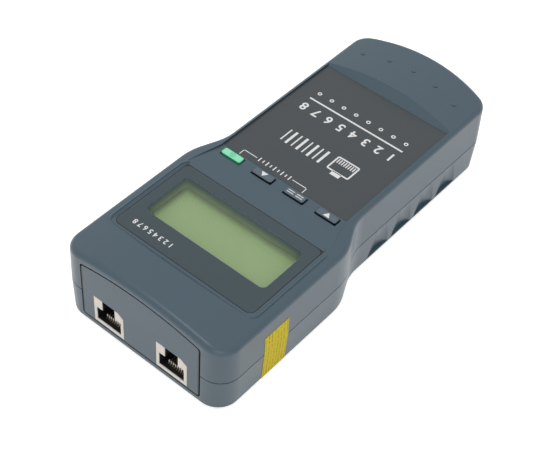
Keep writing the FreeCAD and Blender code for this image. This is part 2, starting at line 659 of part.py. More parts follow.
def rear_casing():
    """Lower shell: finger grooves, battery bay and door opening, screw wells and lip."""
    gap = dims.SplitGap / 2
    outer = casing_form("RearOuter", upper=False)
    hollow = casing_form("RearHollow", upper=False, inset=dims.Wall,
                         handle_inset=dims.HandleWallExtra, ending=dims.Floor)
    split_room = block("LowerSplitRoom", (-BEYOND, -2 * BEYOND, dims.SplitHeight - gap),
                       (BEYOND, 2 * BEYOND, dims.SplitHeight + 1))
    shell = without("RearShell", outer, hollow, split_room,
                    door_region("DoorOpening", dims.DoorGap))
    lip = casing_ring("Lip", dims.LipDepth, dims.Wall - dims.Fit, dims.SplitHeight - 2,
                      dims.SplitHeight + gap + dims.LipHeight)
    bay_half = dims.BatteryWidth / 2 + dims.BayClear
    bay_top = dims.BatteryBottom + dims.BatteryHeight + dims.FoamThick
    bay_bottom = dims.Floor + 0.6
    bay_start, bay_end = from_front(dims.BayStart), from_front(dims.BayEnd)
    handle = dims.HandleWidth / 2 - dims.Wall - dims.HandleWallExtra
    bay = without(
        "Bay",
        united(
            "BaySolid",
            block("BayBox", (-(bay_half + dims.BayWall), bay_start, bay_bottom),
                  (bay_half + dims.BayWall, bay_end + dims.BayWall, bay_top + dims.BayWall)),
            block("BayFrontWeb", (-handle, bay_start, bay_bottom + 2),
                  (handle, bay_start + dims.BayWall, dims.SplitHeight)),
            block("BayBackWeb", (-handle, bay_end, bay_bottom + 2),
                  (handle, bay_end + dims.BayWall, dims.SplitHeight))),
        block("BayRoom", (-bay_half, bay_start + dims.BayWall, -1), (bay_half, bay_end, bay_top)),
        block("LeadNotch", (-dims.NotchWidth / 2, bay_start - 1, dims.NotchBottom),
              (dims.NotchWidth / 2, bay_start + dims.BayWall + 1, dims.NotchTop)))
    rib_low, rib_high = dims.BatteryBottom + 2, bay_top + 0.5
    ribs = []
    for side in (-1, 1):
        for step, along in enumerate(battery_rests()):
            low, high = one_side(side, dims.BatteryWidth / 2, bay_half + 0.5)
            ribs.append(block(f"BayRib{'LR'[side > 0]}{step}", (low, from_front(along), rib_low),
                              (high, from_front(along + dims.RibThick), rib_high)))
    rails = []
    notches = []
    half_door = dims.DoorHalfWide + dims.DoorGap
    for side in (-1, 1):
        low, high = one_side(side, half_door, half_door + dims.RailWidth)
        rails.append(block(f"Rail{'LR'[side > 0]}", (low, from_front(dims.DoorStart + 2), 1),
                           (high, from_front(dims.CaseLength - 14), dims.RailTop)))
        low, high = one_side(side, half_door - 1, half_door + dims.TabReach + 0.2)
        groove_end = tab_starts()[-1] + dims.TabLength + dims.DoorTravel + 1
        notches.append(block(f"RailGroove{'LR'[side > 0]}",
                             (low, from_front(tab_starts()[0] - 1), dims.TabBottom - 0.3),
                             (high, from_front(groove_end), dims.TabTop + 0.7)))
        for step, start in enumerate(tab_starts()):
            first = from_front(start + dims.DoorTravel - 0.5)
            notches.append(block(f"TabNotch{'LR'[side > 0]}{step}", (low, first, -1),
                                 (high, first + dims.TabLength + 1, dims.TabTop)))
    wells = posts("RearBoss", CASE_SCREWS, dims.BossRadius, dims.Floor - 1,
                  dims.SplitHeight + gap + 0.9)
    standoffs = posts("Standoff", BOARD_SCREWS, dims.SmallScrewHead + 0.6, dims.Floor - 0.5,
                      dims.MainBoardTop - dims.BoardThick)
    fitted = united("RearFitted", shell, lip, bay, *ribs, *rails, *wells, *standoffs)
    counterbores = posts("Counterbore", CASE_SCREWS, dims.ScrewHead + 0.3, -1,
                         dims.CounterboreDepth, form=post)
    holes = posts("RearHole", CASE_SCREWS, dims.ScrewRadius + 0.2, -1, dims.SplitHeight + 5)
    board_pilots = posts("BoardPilot", BOARD_SCREWS, dims.SmallScrewRadius, dims.Floor - 1,
                         dims.MainBoardTop)
    opening = panel_prism("RearPanelOpening", dims.PanelGap, -5, dims.PanelThick - dims.Fit)
    flange_room = panel_prism("RearFlangeRoom", dims.FlangeWide + 0.2, dims.PanelThick - dims.Fit,
                              dims.PanelThick + dims.FlangeThick + dims.Fit)
    subpart("rear_casing", without(
        "RearCasing", fitted, *finger_grooves(), *notches, *counterbores, *holes, *board_pilots,
        opening, flange_room))


def battery_door():
    """Sliding cover of the battery bay: back plate, arched end wall, side tabs, thumb ridges."""
    outer = casing_form("DoorOuter", upper=False)
    hollow = casing_form("DoorHollow", upper=False, inset=dims.Wall, ending=dims.Floor + 0.2)
    plate = shared("DoorPlate", without("DoorShell", outer, hollow), door_region("DoorRegion", 0))
    tabs = []
    for side in (-1, 1):
        for step, start in enumerate(tab_starts()):
            low, high = one_side(side, dims.DoorHalfWide - 1, dims.DoorHalfWide + dims.TabReach)
            tabs.append(block(f"DoorTab{'LR'[side > 0]}{step}",
                              (low, from_front(start), dims.TabBottom),
                              (high, from_front(start + dims.TabLength), dims.TabTop)))
    pad_half = dims.BatteryWidth / 3
    pads = [block(f"DoorPad{step}", (-pad_half, from_front(along), dims.Floor - 0.3),
                  (pad_half, from_front(along + dims.RibThick), dims.BatteryBottom - dims.Fit))
            for step, along in enumerate(battery_rests())]
    ridges = []
    for step in range(5):
        start = dims.RidgeFirst + dims.RidgePitch * step
        ridges.append(block(f"DoorRidge{step}", (-dims.RidgeWidth / 2, from_front(start), -1),
                            (dims.RidgeWidth / 2, from_front(start + dims.RidgeThick),
                             dims.RidgeDepth)))
    subpart("battery_door", without("BatteryDoor", united("DoorFitted", plate, *tabs, *pads),
                                    *ridges))


# ---------------------------------------------------------------- socket end

def socket_centres():
    return {"socket_1": -dims.SocketPitch / 2, "socket_2": dims.SocketPitch / 2}


def socket_bottom():
    """The sockets stand on the main board."""
    return dims.MainBoardTop


def end_panel():
    """Flat panel between the shells, held by a flange behind the front wall."""
    face = panel_prism("PanelFace", 0, 0, dims.PanelThick)
    flange = panel_prism("PanelFlange", dims.FlangeWide, dims.PanelThick,
                         dims.PanelThick + dims.FlangeThick)
    windows = [socket_prism(name + "Window", across, dims.Fit, -1, 10)
               for name, across in socket_centres().items()]
    subpart("end_panel", without("EndPanel", united("PanelPlate", face, flange), *windows))


def socket_prism(name, centre, margin, start, end):
    """Socket-shaped solid grown by margin: a box whose upper right corner is cut off."""
    half = dims.SocketWidth / 2 + margin
    low = socket_bottom() - margin
    high = socket_bottom() + dims.SocketHeight + margin
    outline = [(centre + half, low), (centre + half, high - dims.ShieldCutHigh),
               (centre + half - dims.ShieldCutWide, high), (centre - half, high),
               (centre - half, low)]
    return prism(name, "XZ", outline, from_front(start), from_front(end))


def plug_mouth(name, centre, end):
    """Room for a plug, with the slot of its latch open through the top of the socket."""
    low = socket_bottom() + dims.PlugFloor
    shoulder, top = low + dims.PlugHeight, socket_bottom() + dims.SocketHeight + 1
    right = [(dims.PlugWidth / 2, low), (dims.PlugWidth / 2, shoulder),
             (dims.LatchWidth / 2, shoulder), (dims.LatchWidth / 2, top)]
    left = [(-across, up) for across, up in reversed(right)]
    outline = [(centre + across, up) for across, up in right + left]
    return prism(name, "XZ", outline, from_front(-1), from_front(end))


def socket(name, centre):
    """One shielded modular socket: metal shield, moulded body and eight spring contacts."""
    skin = dims.ShieldThick
    can = socket_prism(name + "Can", centre, 0, 0, dims.SocketDepth)
    room = socket_prism(name + "Room", centre, -skin, skin, dims.SocketDepth + 1)
    subpart(name + "_shield", without(name + "Shield", can, room,
                                      plug_mouth(name + "Mouth", centre, skin * 3)))
    block_form = socket_prism(name + "Block", centre, -skin, skin, dims.SocketDepth)
    subpart(name + "_body", without(name + "Body", block_form,
                                    plug_mouth(name + "Cavity", centre, dims.PlugDepth)))
    floor = socket_bottom() + dims.PlugFloor
    front, back = from_front(2), from_front(dims.PlugDepth)
    blade = [(front, floor), (front + 1, floor), (back, floor + dims.ContactRise),
             (back, floor + dims.ContactRise + dims.ContactThick)]
    contacts = []
    for step in range(8):
        middle = centre + dims.ContactPitch * (step - 3.5)
        contacts.append(prism(f"{name}Contact{step}", "YZ", blade,
                              middle - dims.ContactWidth / 2, middle + dims.ContactWidth / 2))
    subpart(name + "_contacts", group(name + "Contacts", contacts))


# ---------------------------------------------------------------- face pieces

def display_window():
    """Tinted lens set flush in the flat face."""
    start = from_front(dims.WindowStart)
    subpart("display_window", prism(
        "DisplayWindow", "XY",
        rectangle(dims.WindowWidth / 2, start, from_front(dims.WindowEnd)),
        dims.FaceHeight - dims.WindowThick, dims.FaceHeight,
        corner=dims.WindowCorner - dims.Fit, corner_test=front_corners_of(start)))


def face_label():
    """Thin printed overlay of the handle."""
    half = dims.LabelWidth / 2 - dims.Fit
    subpart("face_label", prism(
        "FaceLabel", "XY", rectangle(half, from_front(dims.LabelStart + dims.Fit),
                                     from_front(dims.FlatEnd - dims.Fit)),
        dims.FaceHeight - dims.LabelThick, dims.FaceHeight))


KEY_NAMES = ("power_key", "down_key", "pair_key", "up_key")


def key(name, across):
    """Key cap with its retaining flange and stem, and the plunger of the switch below it."""
    middle = from_front(dims.KeyCentre)
    half_wide, half_deep = dims.KeyWidth / 2, dims.KeyDepth / 2
    flange_top = dims.RoofUnder - dims.KeyGap
    body = add("PartDesign::Body", name + "Cap")
    cap = pad(body, name + "Top", "XY",
              [(across + half_wide, middle - half_deep), (across + half_wide, middle + half_deep),
               (across - half_wide, middle + half_deep), (across - half_wide, middle - half_deep)],
              flange_top, dims.KeyTop)
    cap = bevelled(body, name + "Corners", cap, dims.KeyCorner, upright)
    bevelled(body, name + "Rim", cap, dims.KeyCorner / 2, lambda edge: all(
        vertex.Point.z > dims.KeyTop.value - 0.01 for vertex in edge.Vertexes))
    flange = block(name + "Flange", (across - half_wide - 1, middle - half_deep - 1, flange_top - 1),
                   (across + half_wide + 1, middle + half_deep + 1, flange_top))
    stem = block(name + "Stem", (across - 2, middle - 1.5, dims.PlungerTop),
                 (across + 2, middle + 1.5, flange_top - 1))
    subpart(name, united(name + "Key", body, flange, stem))
    half = dims.PlungerWidth / 2
    subpart(name.replace("key", "plunger"), block(
        name + "Plunger", (across - half, middle - half, dims.SwitchTop - dims.PlungerDepth),
        (across + half, middle + half, dims.PlungerTop)))


def switch_bodies():
    """Four push switches on the display board, each hollowed for its square plunger."""
    half = dims.SwitchSize / 2
    inner = dims.PlungerWidth / 2 + dims.Fit
    well_bottom = dims.SwitchTop - dims.PlungerDepth - dims.KeyTravel - 0.2
    middle = from_front(dims.KeyCentre)
    switches = []
    for place, across in enumerate(key_centres(), start=1):
        case = block(f"SwitchCase{place}", (across - half, middle - half, dims.DisplayBoardTop),
                     (across + half, middle + half, dims.SwitchTop))
        well = block(f"SwitchWell{place}",
                     (across - inner, middle - inner, well_bottom),
                     (across + inner, middle + inner, dims.SwitchTop + 1))
        switches.append(without(f"Switch{place}", case, well))
    subpart("switch_bodies", group("SwitchBodies", switches))


def seal_sticker():
    """Paper seal stuck across the split on the right wall, down over the bottom edge."""
    strips = []
    for upper, low, high in ((True, dims.SplitHeight, dims.SealTop),
                             (False, dims.SealBottom, dims.SplitHeight)):
        word = "Upper" if upper else "Lower"
        region = block(f"Seal{word}Region", (dims.CaseWidth / 3, from_front(dims.SealStart), low),
                       (dims.CaseWidth, from_front(dims.SealEnd), high))
        raised = casing_form(f"Seal{word}Raised", upper=upper, inset=-dims.SealThick)
        casing = casing_form(f"Seal{word}Casing", upper=upper)
        strips.append(without(f"Seal{word}Strip", shared(f"Seal{word}Piece", raised, region), casing))
    subpart("seal_sticker", united("SealSticker", *strips))


# ---------------------------------------------------------------- electronics

def board_outline(wide, start, step, narrow, end):
    """Board with a wide part at the display end and a narrow part towards the handle."""
    right = [(wide / 2, from_front(start)), (wide / 2, from_front(step)),
             (narrow / 2, from_front(step)), (narrow / 2, from_front(end))]
    return right + [(-across, along) for across, along in reversed(right)]


def display_stack():
    """Display board with the display glass, its bezel, light guide and contact strips."""
    top = dims.DisplayBoardTop
    outline = board_outline(dims.DisplayBoardWide, dims.DisplayBoardStart, dims.DisplayBoardStep,
                            dims.DisplayBoardNarrow, dims.DisplayBoardEnd)
    board = prism("DisplayBoardPlate", "XY", outline, top - dims.BoardThick, top)
    holes = posts("DisplayHole", DISPLAY_SCREWS, dims.SmallScrewRadius + 0.2, top - 3, top + 1)
    subpart("display_board", without("DisplayBoard", board, *holes))
    half, start, end = dims.GlassWidth / 2, from_front(dims.GlassStart), from_front(dims.GlassEnd)
    glass_low, wall = dims.GlassTop - dims.GlassThick, dims.BezelWall
    subpart("lcd_glass", block("LcdGlass", (-half, start, glass_low), (half, end, dims.GlassTop)))
    frame = block("BezelBlock", (-(half + wall), start - wall, top),
                  (half + wall, end + wall, dims.GlassTop + dims.BezelLip))
    room = block("BezelRoom", (-half, start, top - 1), (half, end, dims.GlassTop))
    view_half, view_start = dims.ViewWidth / 2 + 0.4, from_front(dims.ViewStart - 0.5)
    view_end = from_front(dims.ViewEnd + 0.6)
    view = block("BezelView", (-view_half, view_start, top), (view_half, view_end, BEYOND))
    subpart("lcd_bezel", without("LcdBezel", frame, room, view))
    strip_half = half - wall
    subpart("lcd_backlight", block("LcdBacklight", (-strip_half, view_start + 0.3, top),
                                   (strip_half, view_end + 0.2, glass_low)))
    places = ((start + 0.2, start + 0.2 + dims.StripWidth), (end - 0.2 - dims.StripWidth, end - 0.2))
    strips = [block(f"Strip{place}", (-strip_half, first, top), (strip_half, last, glass_low))
              for place, (first, last) in enumerate(places, start=1)]
    subpart("contact_strips", group("ContactStrips", strips))


CAN_PLACES = (-22, 42), (-22, 52), (20, 62)      # X and distance from the front
PIN_COLUMNS, PIN_LINES = 7, 2


def main_board():
    """Main board on the floor of the lower shell, with the parts soldered on it."""
    top = dims.MainBoardTop
    outline = board_outline(dims.MainBoardWide, dims.MainBoardStart, dims.MainBoardStep,
                            dims.MainBoardNarrow, dims.MainBoardEnd)
    board = prism("MainBoardPlate", "XY", outline, top - dims.BoardThick, top)
    holes = posts("BoardHole", BOARD_SCREWS, dims.SmallScrewRadius + 0.2, 0, top + 1)
    holes += posts("BoardRelief", CASE_SCREWS, dims.BossRadius + 0.5, 0, top + 1)
    subpart("main_board", without("MainBoard", board, *holes))
    start, half = from_front(dims.ChipStart), dims.ChipSize / 2
    subpart("controller_chip", block("ControllerChip", (-half, start, top),
                                     (half, start + dims.ChipSize, top + dims.ChipThick)))
    low, start = dims.CrystalX, from_front(dims.CrystalStart)
    high, end = low + dims.CrystalThick, start + dims.CrystalLength
    subpart("crystal", prism("Crystal", "XY", [(low, start), (high, start), (high, end), (low, end)],
                             top, top + dims.CrystalHeight, corner=dims.CrystalThick / 2 - 0.15))
    cans = [stub(f"Can{place}", (across, from_front(along)), dims.CanRadius, top,
                 top + dims.CanHeight, sides=16)
            for place, (across, along) in enumerate(CAN_PLACES, start=1)]
    subpart("capacitors", group("Capacitors", cans))
    board_header()


def board_header():
    """Pin header on the main board and the receptacle under the display board."""
    half, start = dims.HeaderWidth / 2, from_front(dims.HeaderStart)
    end, low = start + dims.HeaderDepth, dims.MainBoardTop
    strip_top = low + dims.HeaderBase
    board_under = dims.DisplayBoardTop - dims.BoardThick
    socket_low = board_under - dims.ReceptacleHeight
    strip = block("HeaderStrip", (-half, start, low), (half, end, strip_top))
    pins = []
    for column in range(PIN_COLUMNS):
        across = dims.PinPitch * (column - (PIN_COLUMNS - 1) / 2)
        for line in range(PIN_LINES):
            along = (start + end) / 2 + dims.PinPitch * (line - (PIN_LINES - 1) / 2)
            size = dims.PinSize / 2
            pins.append(block(f"HeaderPin{column}{line}", (across - size, along - size, strip_top),
                              (across + size, along + size, socket_low)))
    subpart("board_header", united("BoardHeader", strip, *pins))
    subpart("header_receptacle", block("HeaderReceptacle", (-half, start, socket_low),
                                       (half, end, board_under)))


# ---------------------------------------------------------------- battery

def battery():
    """Nine-volt block, its foam pad, snap connector and two leads to the main board."""
    half = dims.BatteryWidth / 2
    low, high = dims.BatteryBottom, dims.BatteryBottom + dims.BatteryHeight
    start, end = from_front(dims.BatteryStart), from_front(dims.BatteryStart + dims.BatteryLength)
    cell = prism("BatteryCase", "XZ", [(half, low), (half, high), (-half, high), (-half, low)],
                 start, end, corner=dims.BatteryCorner)
    level = low + dims.BatteryHeight / 2
    snap_end = start - dims.StudHeight
    snap_start = snap_end - dims.SnapThick
    studs = [end_stub(f"Stud{place}", across, level, dims.StudRadius, snap_end, start)
             for place, (across, _) in enumerate(both_sides(dims.StudPitch / 2, start), start=1)]
    subpart("battery", united("Battery", cell, *studs))
    foam_half = dims.FoamWidth / 2
    subpart("battery_foam", block("BatteryFoam", (-foam_half, start + 4, high),
                                  (foam_half, end - 4, high + dims.FoamThick)))
    subpart("battery_snap", block(
        "SnapPlate", (-dims.SnapWidth / 2, snap_start, level - dims.SnapHeight / 2),
        (dims.SnapWidth / 2, snap_end, level + dims.SnapHeight / 2)))
    lead("red_lead", dims.LeadPitch / 2, level, snap_start)
    lead("black_lead", -dims.LeadPitch / 2, level, snap_start)


def end_stub(name, across, level, radius, start, end):
    """Twelve-sided terminal along Y from start to end."""
    solid = add("Part::Prism", name)
    solid.Polygon = 12
    turn = FreeCAD.Rotation(FreeCAD.Vector(1, 0, 0), -90)
    solid.Placement = FreeCAD.Placement(FreeCAD.Vector(), turn)
    bind(solid, "Circumradius", radius)
    bind(solid, "Height", as_size(end) - start)
    for axis, place in zip("xyz", (across, start, level)):
        bind(solid, f"Placement.Base.{axis}", place)
    return solid


def lead(name, across, level, start):
    """Lead from the snap, through the bay wall and down on to the main board."""
    body = add("PartDesign::Body", name + "Body")
    foot, bend = from_front(dims.LeadFoot), dims.LeadBend
    route = [(start, level), (foot + bend, level), (foot, level - bend), (foot, dims.MainBoardTop)]
    spine = sketch(body, name + "Route", "YZ", route, across, {1: bend}, closed=False)
    sides = 8
    turns = [2 * math.pi * side / sides for side in range(sides)]
    section = [(across + dims.LeadRadius * math.cos(turn), level + dims.LeadRadius * math.sin(turn))
               for turn in turns]
    pipe = body.newObject("PartDesign::AdditivePipe", name + "Pipe")
    pipe.Profile = sketch(body, name + "Section", "XZ", section, -start)
    pipe.Spine = (spine, [])
    subpart(name, body)


# ---------------------------------------------------------------- fasteners

def screws(label, centres, heads, head_form, head_radius, shanks, shank_radius):
    """Identical screws in one node; heads and shanks are the heights between which they run."""
    made = []
    for place, centre in enumerate(centres, start=1):
        name = f"{label}{place}"
        made.append(united(name, head_form(name + "Head", centre, head_radius, *heads),
                           stub(name + "Shank", centre, shank_radius, *shanks)))
    subpart(label, group(label + "Group", made))


def fasteners():
    """Case screws up from the back, and small screws that hold the two boards."""
    slack = 0.05
    seat = dims.CounterboreDepth
    screws("case_screws", CASE_SCREWS, (seat - dims.ScrewHeadThick, seat), post, dims.ScrewHead,
           (seat, seat + dims.ScrewLength), dims.ScrewRadius - slack)
    small, thick = dims.SmallScrewRadius - slack, dims.SmallScrewHeadThick
    seat = dims.MainBoardTop
    screws("board_screws", BOARD_SCREWS, (seat, seat + thick), stub, dims.SmallScrewHead,
           (seat - dims.BoardScrewLength, seat), small)
    seat = dims.DisplayBoardTop - dims.BoardThick
    screws("display_screws", DISPLAY_SCREWS, (seat - thick, seat), stub, dims.SmallScrewHead,
           (seat, seat + dims.DisplayScrewLength), small)


# ---------------------------------------------------------------- assembly

def check_document():
    """Stop if any object failed, or any piece is empty or broken."""
    for thing in doc.Objects:
        if "Invalid" in thing.State or "Error" in thing.State:
            raise RuntimeError(f"{thing.Name}: {thing.State}")
    for label, thing in subparts.items():
        if thing.Shape.isNull() or not thing.Shape.isValid() or not thing.Shape.Solids:
            raise RuntimeError(f"{label} has no valid solid")


front_casing()
rear_casing()
battery_door()
end_panel()
for socket_name, socket_centre in socket_centres().items():
    socket(socket_name, socket_centre)
display_window()
face_label()
for key_name, key_across in zip(KEY_NAMES, key_centres()):
    key(key_name, key_across)
switch_bodies()
seal_sticker()
display_stack()
main_board()
battery()
fasteners()
doc.recompute()
check_document()

os.makedirs("parts", exist_ok=True)
for label, thing in subparts.items():
    thing.Shape.exportStep(f"parts/{label}.step")
    print(f"{label}: {len(thing.Shape.Solids)} solid(s), {thing.Shape.Volume / 1000:.2f} cm3, "
          f"{len(thing.Shape.Faces)} faces")
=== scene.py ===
"""Looks of the hand-held network cable tester: finishes, prints, stage and camera."""
import math

import bpy
from bpy.props import FloatProperty, FloatVectorProperty, PointerProperty
from mathutils import Matrix, Vector


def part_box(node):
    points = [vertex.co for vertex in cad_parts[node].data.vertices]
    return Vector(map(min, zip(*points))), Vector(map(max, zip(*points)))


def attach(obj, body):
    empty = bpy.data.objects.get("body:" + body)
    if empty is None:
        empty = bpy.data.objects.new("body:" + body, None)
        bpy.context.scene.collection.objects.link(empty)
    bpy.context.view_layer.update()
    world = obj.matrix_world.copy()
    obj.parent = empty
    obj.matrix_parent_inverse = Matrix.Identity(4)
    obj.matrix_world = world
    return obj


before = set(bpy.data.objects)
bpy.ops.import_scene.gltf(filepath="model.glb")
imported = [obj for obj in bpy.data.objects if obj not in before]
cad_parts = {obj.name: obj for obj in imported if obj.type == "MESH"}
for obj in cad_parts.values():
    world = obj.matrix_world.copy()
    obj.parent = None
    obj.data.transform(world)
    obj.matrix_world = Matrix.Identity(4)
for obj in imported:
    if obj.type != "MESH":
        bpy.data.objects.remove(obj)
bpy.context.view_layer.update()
MM = 0.001
WIRES = 8                           # wires of a network cable, and contacts of a socket
SMOOTH_ANGLE = math.radians(32)     # edges sharper than this stay crisp
RELIEF_DEPTH = 0.02 * MM            # depth of the moulded grain
PATCH_SCALE = 38.0                  # slow patches of sheen, per metre
MARK_STRETCH = (60, 900, 200)       # handling marks, per metre along X, Y and Z
MARK_TURN = 0.5                     # their slant, in radians
MARK_LEVEL = 0.62                   # noise above this becomes a mark
UPRIGHT = 0.9                       # a normal this steep belongs to a level face
SENSOR_WIDTH = 36.0                 # camera sensor, in millimetres
CLIP_START = 10 * MM                # nearest thing that the camera sees

bl_info = {
    "name": "Cable Tester Finishes",
    "version": (1, 0, 0),
    "blender": (4, 5, 0),
    "location": "View3D > Sidebar > Cable Tester",
    "description": "Dresses the cable tester's frame with finishes, prints and a studio stage",
    "category": "Object",
}


def colour(name, description, default):
    """A colour setting, linear RGB."""
    return FloatVectorProperty(name=name, description=description, default=default,
                               subtype="COLOR", size=3, min=0.0, max=1.0)


def length(name, description, default):
    """A length setting in metres."""
    return FloatProperty(name=name, description=description, default=default, unit="LENGTH",
                         precision=5)


def ratio(name, description, default):
    """A plain number between 0 and 1."""
    return FloatProperty(name=name, description=description, default=default, min=0.0, max=1.0,
                         subtype="FACTOR")


class TesterColours(bpy.types.PropertyGroup):
    """Colours of the tester's plastics, prints and metals."""
    casing: colour("Casing", "Moulded blue-grey of both shells", (0.058, 0.100, 0.132))
    window_print: colour("Window border", "Print behind the window", (0.036, 0.064, 0.079))
    # painted light: the view wall's lip is lightened against its shade, and its foot takes the
    # display's glow
    view_lip_painted_light: colour("View lip", "Wall of the view, next to the window", (0.150, 0.196, 0.240))
    view_foot_painted_glow: colour("View foot", "Wall of the view, next to the display", (0.38, 0.46, 0.31))
    window_shade: colour("Window shade", "Display in the shade at the edges of its view",
                         (0.235, 0.290, 0.185))
    display: colour("Display", "Green of the resting display", (0.385, 0.535, 0.255))
    label: colour("Label", "Overlay down the handle", (0.044, 0.055, 0.063))
    ink: colour("Ink", "White print on label and keys", (0.90, 0.90, 0.90))
    power_key: colour("Power key", "Green cap of the power key", (0.27, 0.88, 0.52))
    # painted shade: the power key's sides are darker green than its cap
    power_side_shade: colour("Power key sides", "Deeper green below the cap's rim", (0.025, 0.40, 0.18))
    power_sign: colour("Power sign", "Ring and stroke on the power key", (0.11, 0.60, 0.37))
    # painted shadow: black laid on gaps and key sides where shade falls
    seam: colour("Seam", "Shadow black of gaps and key sides", (0.003, 0.004, 0.005))
    seal: colour("Seal", "Yellow paper of the seal", (0.82, 0.66, 0.045))
    seal_rule: colour("Seal rules", "Brown rules on the seal", (0.42, 0.26, 0.02))
    shield: colour("Socket shield", "Plated fronts of the sockets", (0.78, 0.72, 0.65))
    # gold flash of the contacts, darkened as painted shade deep in the socket
    contact: colour("Contacts", "Gold-flashed spring wires", (0.50, 0.40, 0.22))


class TesterSizes(bpy.types.PropertyGroup):
    """Sizes of the prints, the small trim and the surface grain."""
    grain: length("Grain", "Pitch of the moulded texture", 0.35 * MM)
    ink_thick: length("Ink thickness", "Height of a printed film", 0.03 * MM)
    line: length("Line", "Width of the thin printed lines", 0.35 * MM)
    view_wide: length("View width", "Width of the clear part of the window", 59 * MM)
    view_near: length("View near edge", "Window's near edge to the clear part", 11.9 * MM)
    view_far: length("View far edge", "Window's near edge to the clear part's far edge",
                     35.5 * MM)
    view_corner: length("View corner", "Corner radius of the clear part", 2.5 * MM)
    shade_reach: length("Shade reach", "Soft shade round the edges of the display", 3.6 * MM)
    bead_offset: length("Bead offset", "Window border to the bead moulded round it", 2.3 * MM)
    bead: length("Bead", "Width of the bead round the window", 0.7 * MM)
    # the cap's rim sits above the painted shade on the key's sides
    rim: length("Key rim", "Depth of the light cap above the key's dark sides", 0.22 * MM)
    # width of the painted shadow at the sides of the socket panel
    seam: length("Seam", "Dark gap at the sides of the socket panel", 0.55 * MM)
    # width of the painted shadow round the window
    window_gap: length("Window gap", "Dark gap round the window", 0.3 * MM)
    digit: length("Digit", "Letter size of the digits on the label", 6.2 * MM)
    wire_pitch: length("Wire pitch", "Spacing of the eight printed wires", 6.3 * MM)


class TesterStage(bpy.types.PropertyGroup):
    """Camera and lamps."""
    azimuth: FloatProperty(name="Azimuth", description="Camera turned about Z from -Y",
                           default=math.radians(36.88), subtype="ANGLE", unit="ROTATION")
    elevation: FloatProperty(name="Elevation", description="Camera above the floor",
                             default=math.radians(46.73), subtype="ANGLE", unit="ROTATION")
    roll: FloatProperty(name="Roll", description="Camera turned about its own axis",
                        default=math.radians(4.40), subtype="ANGLE", unit="ROTATION")
    distance: length("Distance", "Camera to the point it looks at", 0.58084)
    lens: FloatProperty(name="Lens", description="Focal length in millimetres", default=86.51,
                        unit="CAMERA")
    aim: FloatVectorProperty(name="Aim", description="Point at the middle of the view",
                             default=(-0.02419, 0.01955, -0.03004), subtype="TRANSLATION",
                             unit="LENGTH")
    key_light: FloatProperty(name="Key light", description="Power of the overhead softbox in W",
                             default=1.4, unit="POWER")
    side_light: FloatProperty(name="Side light", description="Power of the side softbox in W",
                              default=1.35, unit="POWER")
    zenith: ratio("Zenith", "Brightness of the studio's ceiling", 1.0)
    horizon: ratio("Horizon", "Brightness of the studio's walls at floor level", 0.06)
    floor_glow: ratio("Floor glow", "White added to the floor as it is seen", 0.65)


# ---------------------------------------------------------------- node helpers

def new_group(name, inputs, outputs):
    """Empty shader node group with float or colour sockets; returns the group and its ends."""
    group = bpy.data.node_groups.new(name, "ShaderNodeTree")
    for label, kind, default in inputs:
        socket = group.interface.new_socket(label, in_out="INPUT", socket_type=kind)
        socket.default_value = default
    for label, kind in outputs:
        group.interface.new_socket(label, in_out="OUTPUT", socket_type=kind)
    start = group.nodes.new("NodeGroupInput")
    end = group.nodes.new("NodeGroupOutput")
    return group, start, end


def math_node(tree, operation, first, second, clamp=False):
    """A Math node on two sockets or numbers; returns its output."""
    node = tree.nodes.new("ShaderNodeMath")
    node.operation = operation
    node.use_clamp = clamp
    for socket, value in zip(node.inputs, (first, second)):
        if isinstance(value, (int, float)):
            socket.default_value = value
        else:
            tree.links.new(value, socket)
    return node.outputs[0]


def noise(tree, vector, scale, detail=2.0, roughness=0.5):
    """Noise texture factor over a vector."""
    node = tree.nodes.new("ShaderNodeTexNoise")
    node.inputs["Detail"].default_value = detail
    node.inputs["Roughness"].default_value = roughness
    if isinstance(scale, (int, float)):
        node.inputs["Scale"].default_value = scale
    else:
        tree.links.new(scale, node.inputs["Scale"])
    tree.links.new(vector, node.inputs["Vector"])
    return node.outputs["Fac"]


def soft_step(tree, value, low, high):
    """Smooth 0 to 1 as a value goes from low to high."""
    node = tree.nodes.new("ShaderNodeMapRange")
    node.interpolation_type = "SMOOTHSTEP"
    tree.links.new(value, node.inputs["Value"])
    node.inputs["From Min"].default_value = low
    node.inputs["From Max"].default_value = high
    return node.outputs["Result"]


def blend_colours(tree, factor, first, second):
    """Mix two constant colours by a mask."""
    node = tree.nodes.new("ShaderNodeMix")
    node.data_type = "RGBA"
    tree.links.new(factor, node.inputs["Factor"])
    node.inputs["A"].default_value = (*first, 1.0)
    node.inputs["B"].default_value = (*second, 1.0)
    return node.outputs["Result"]


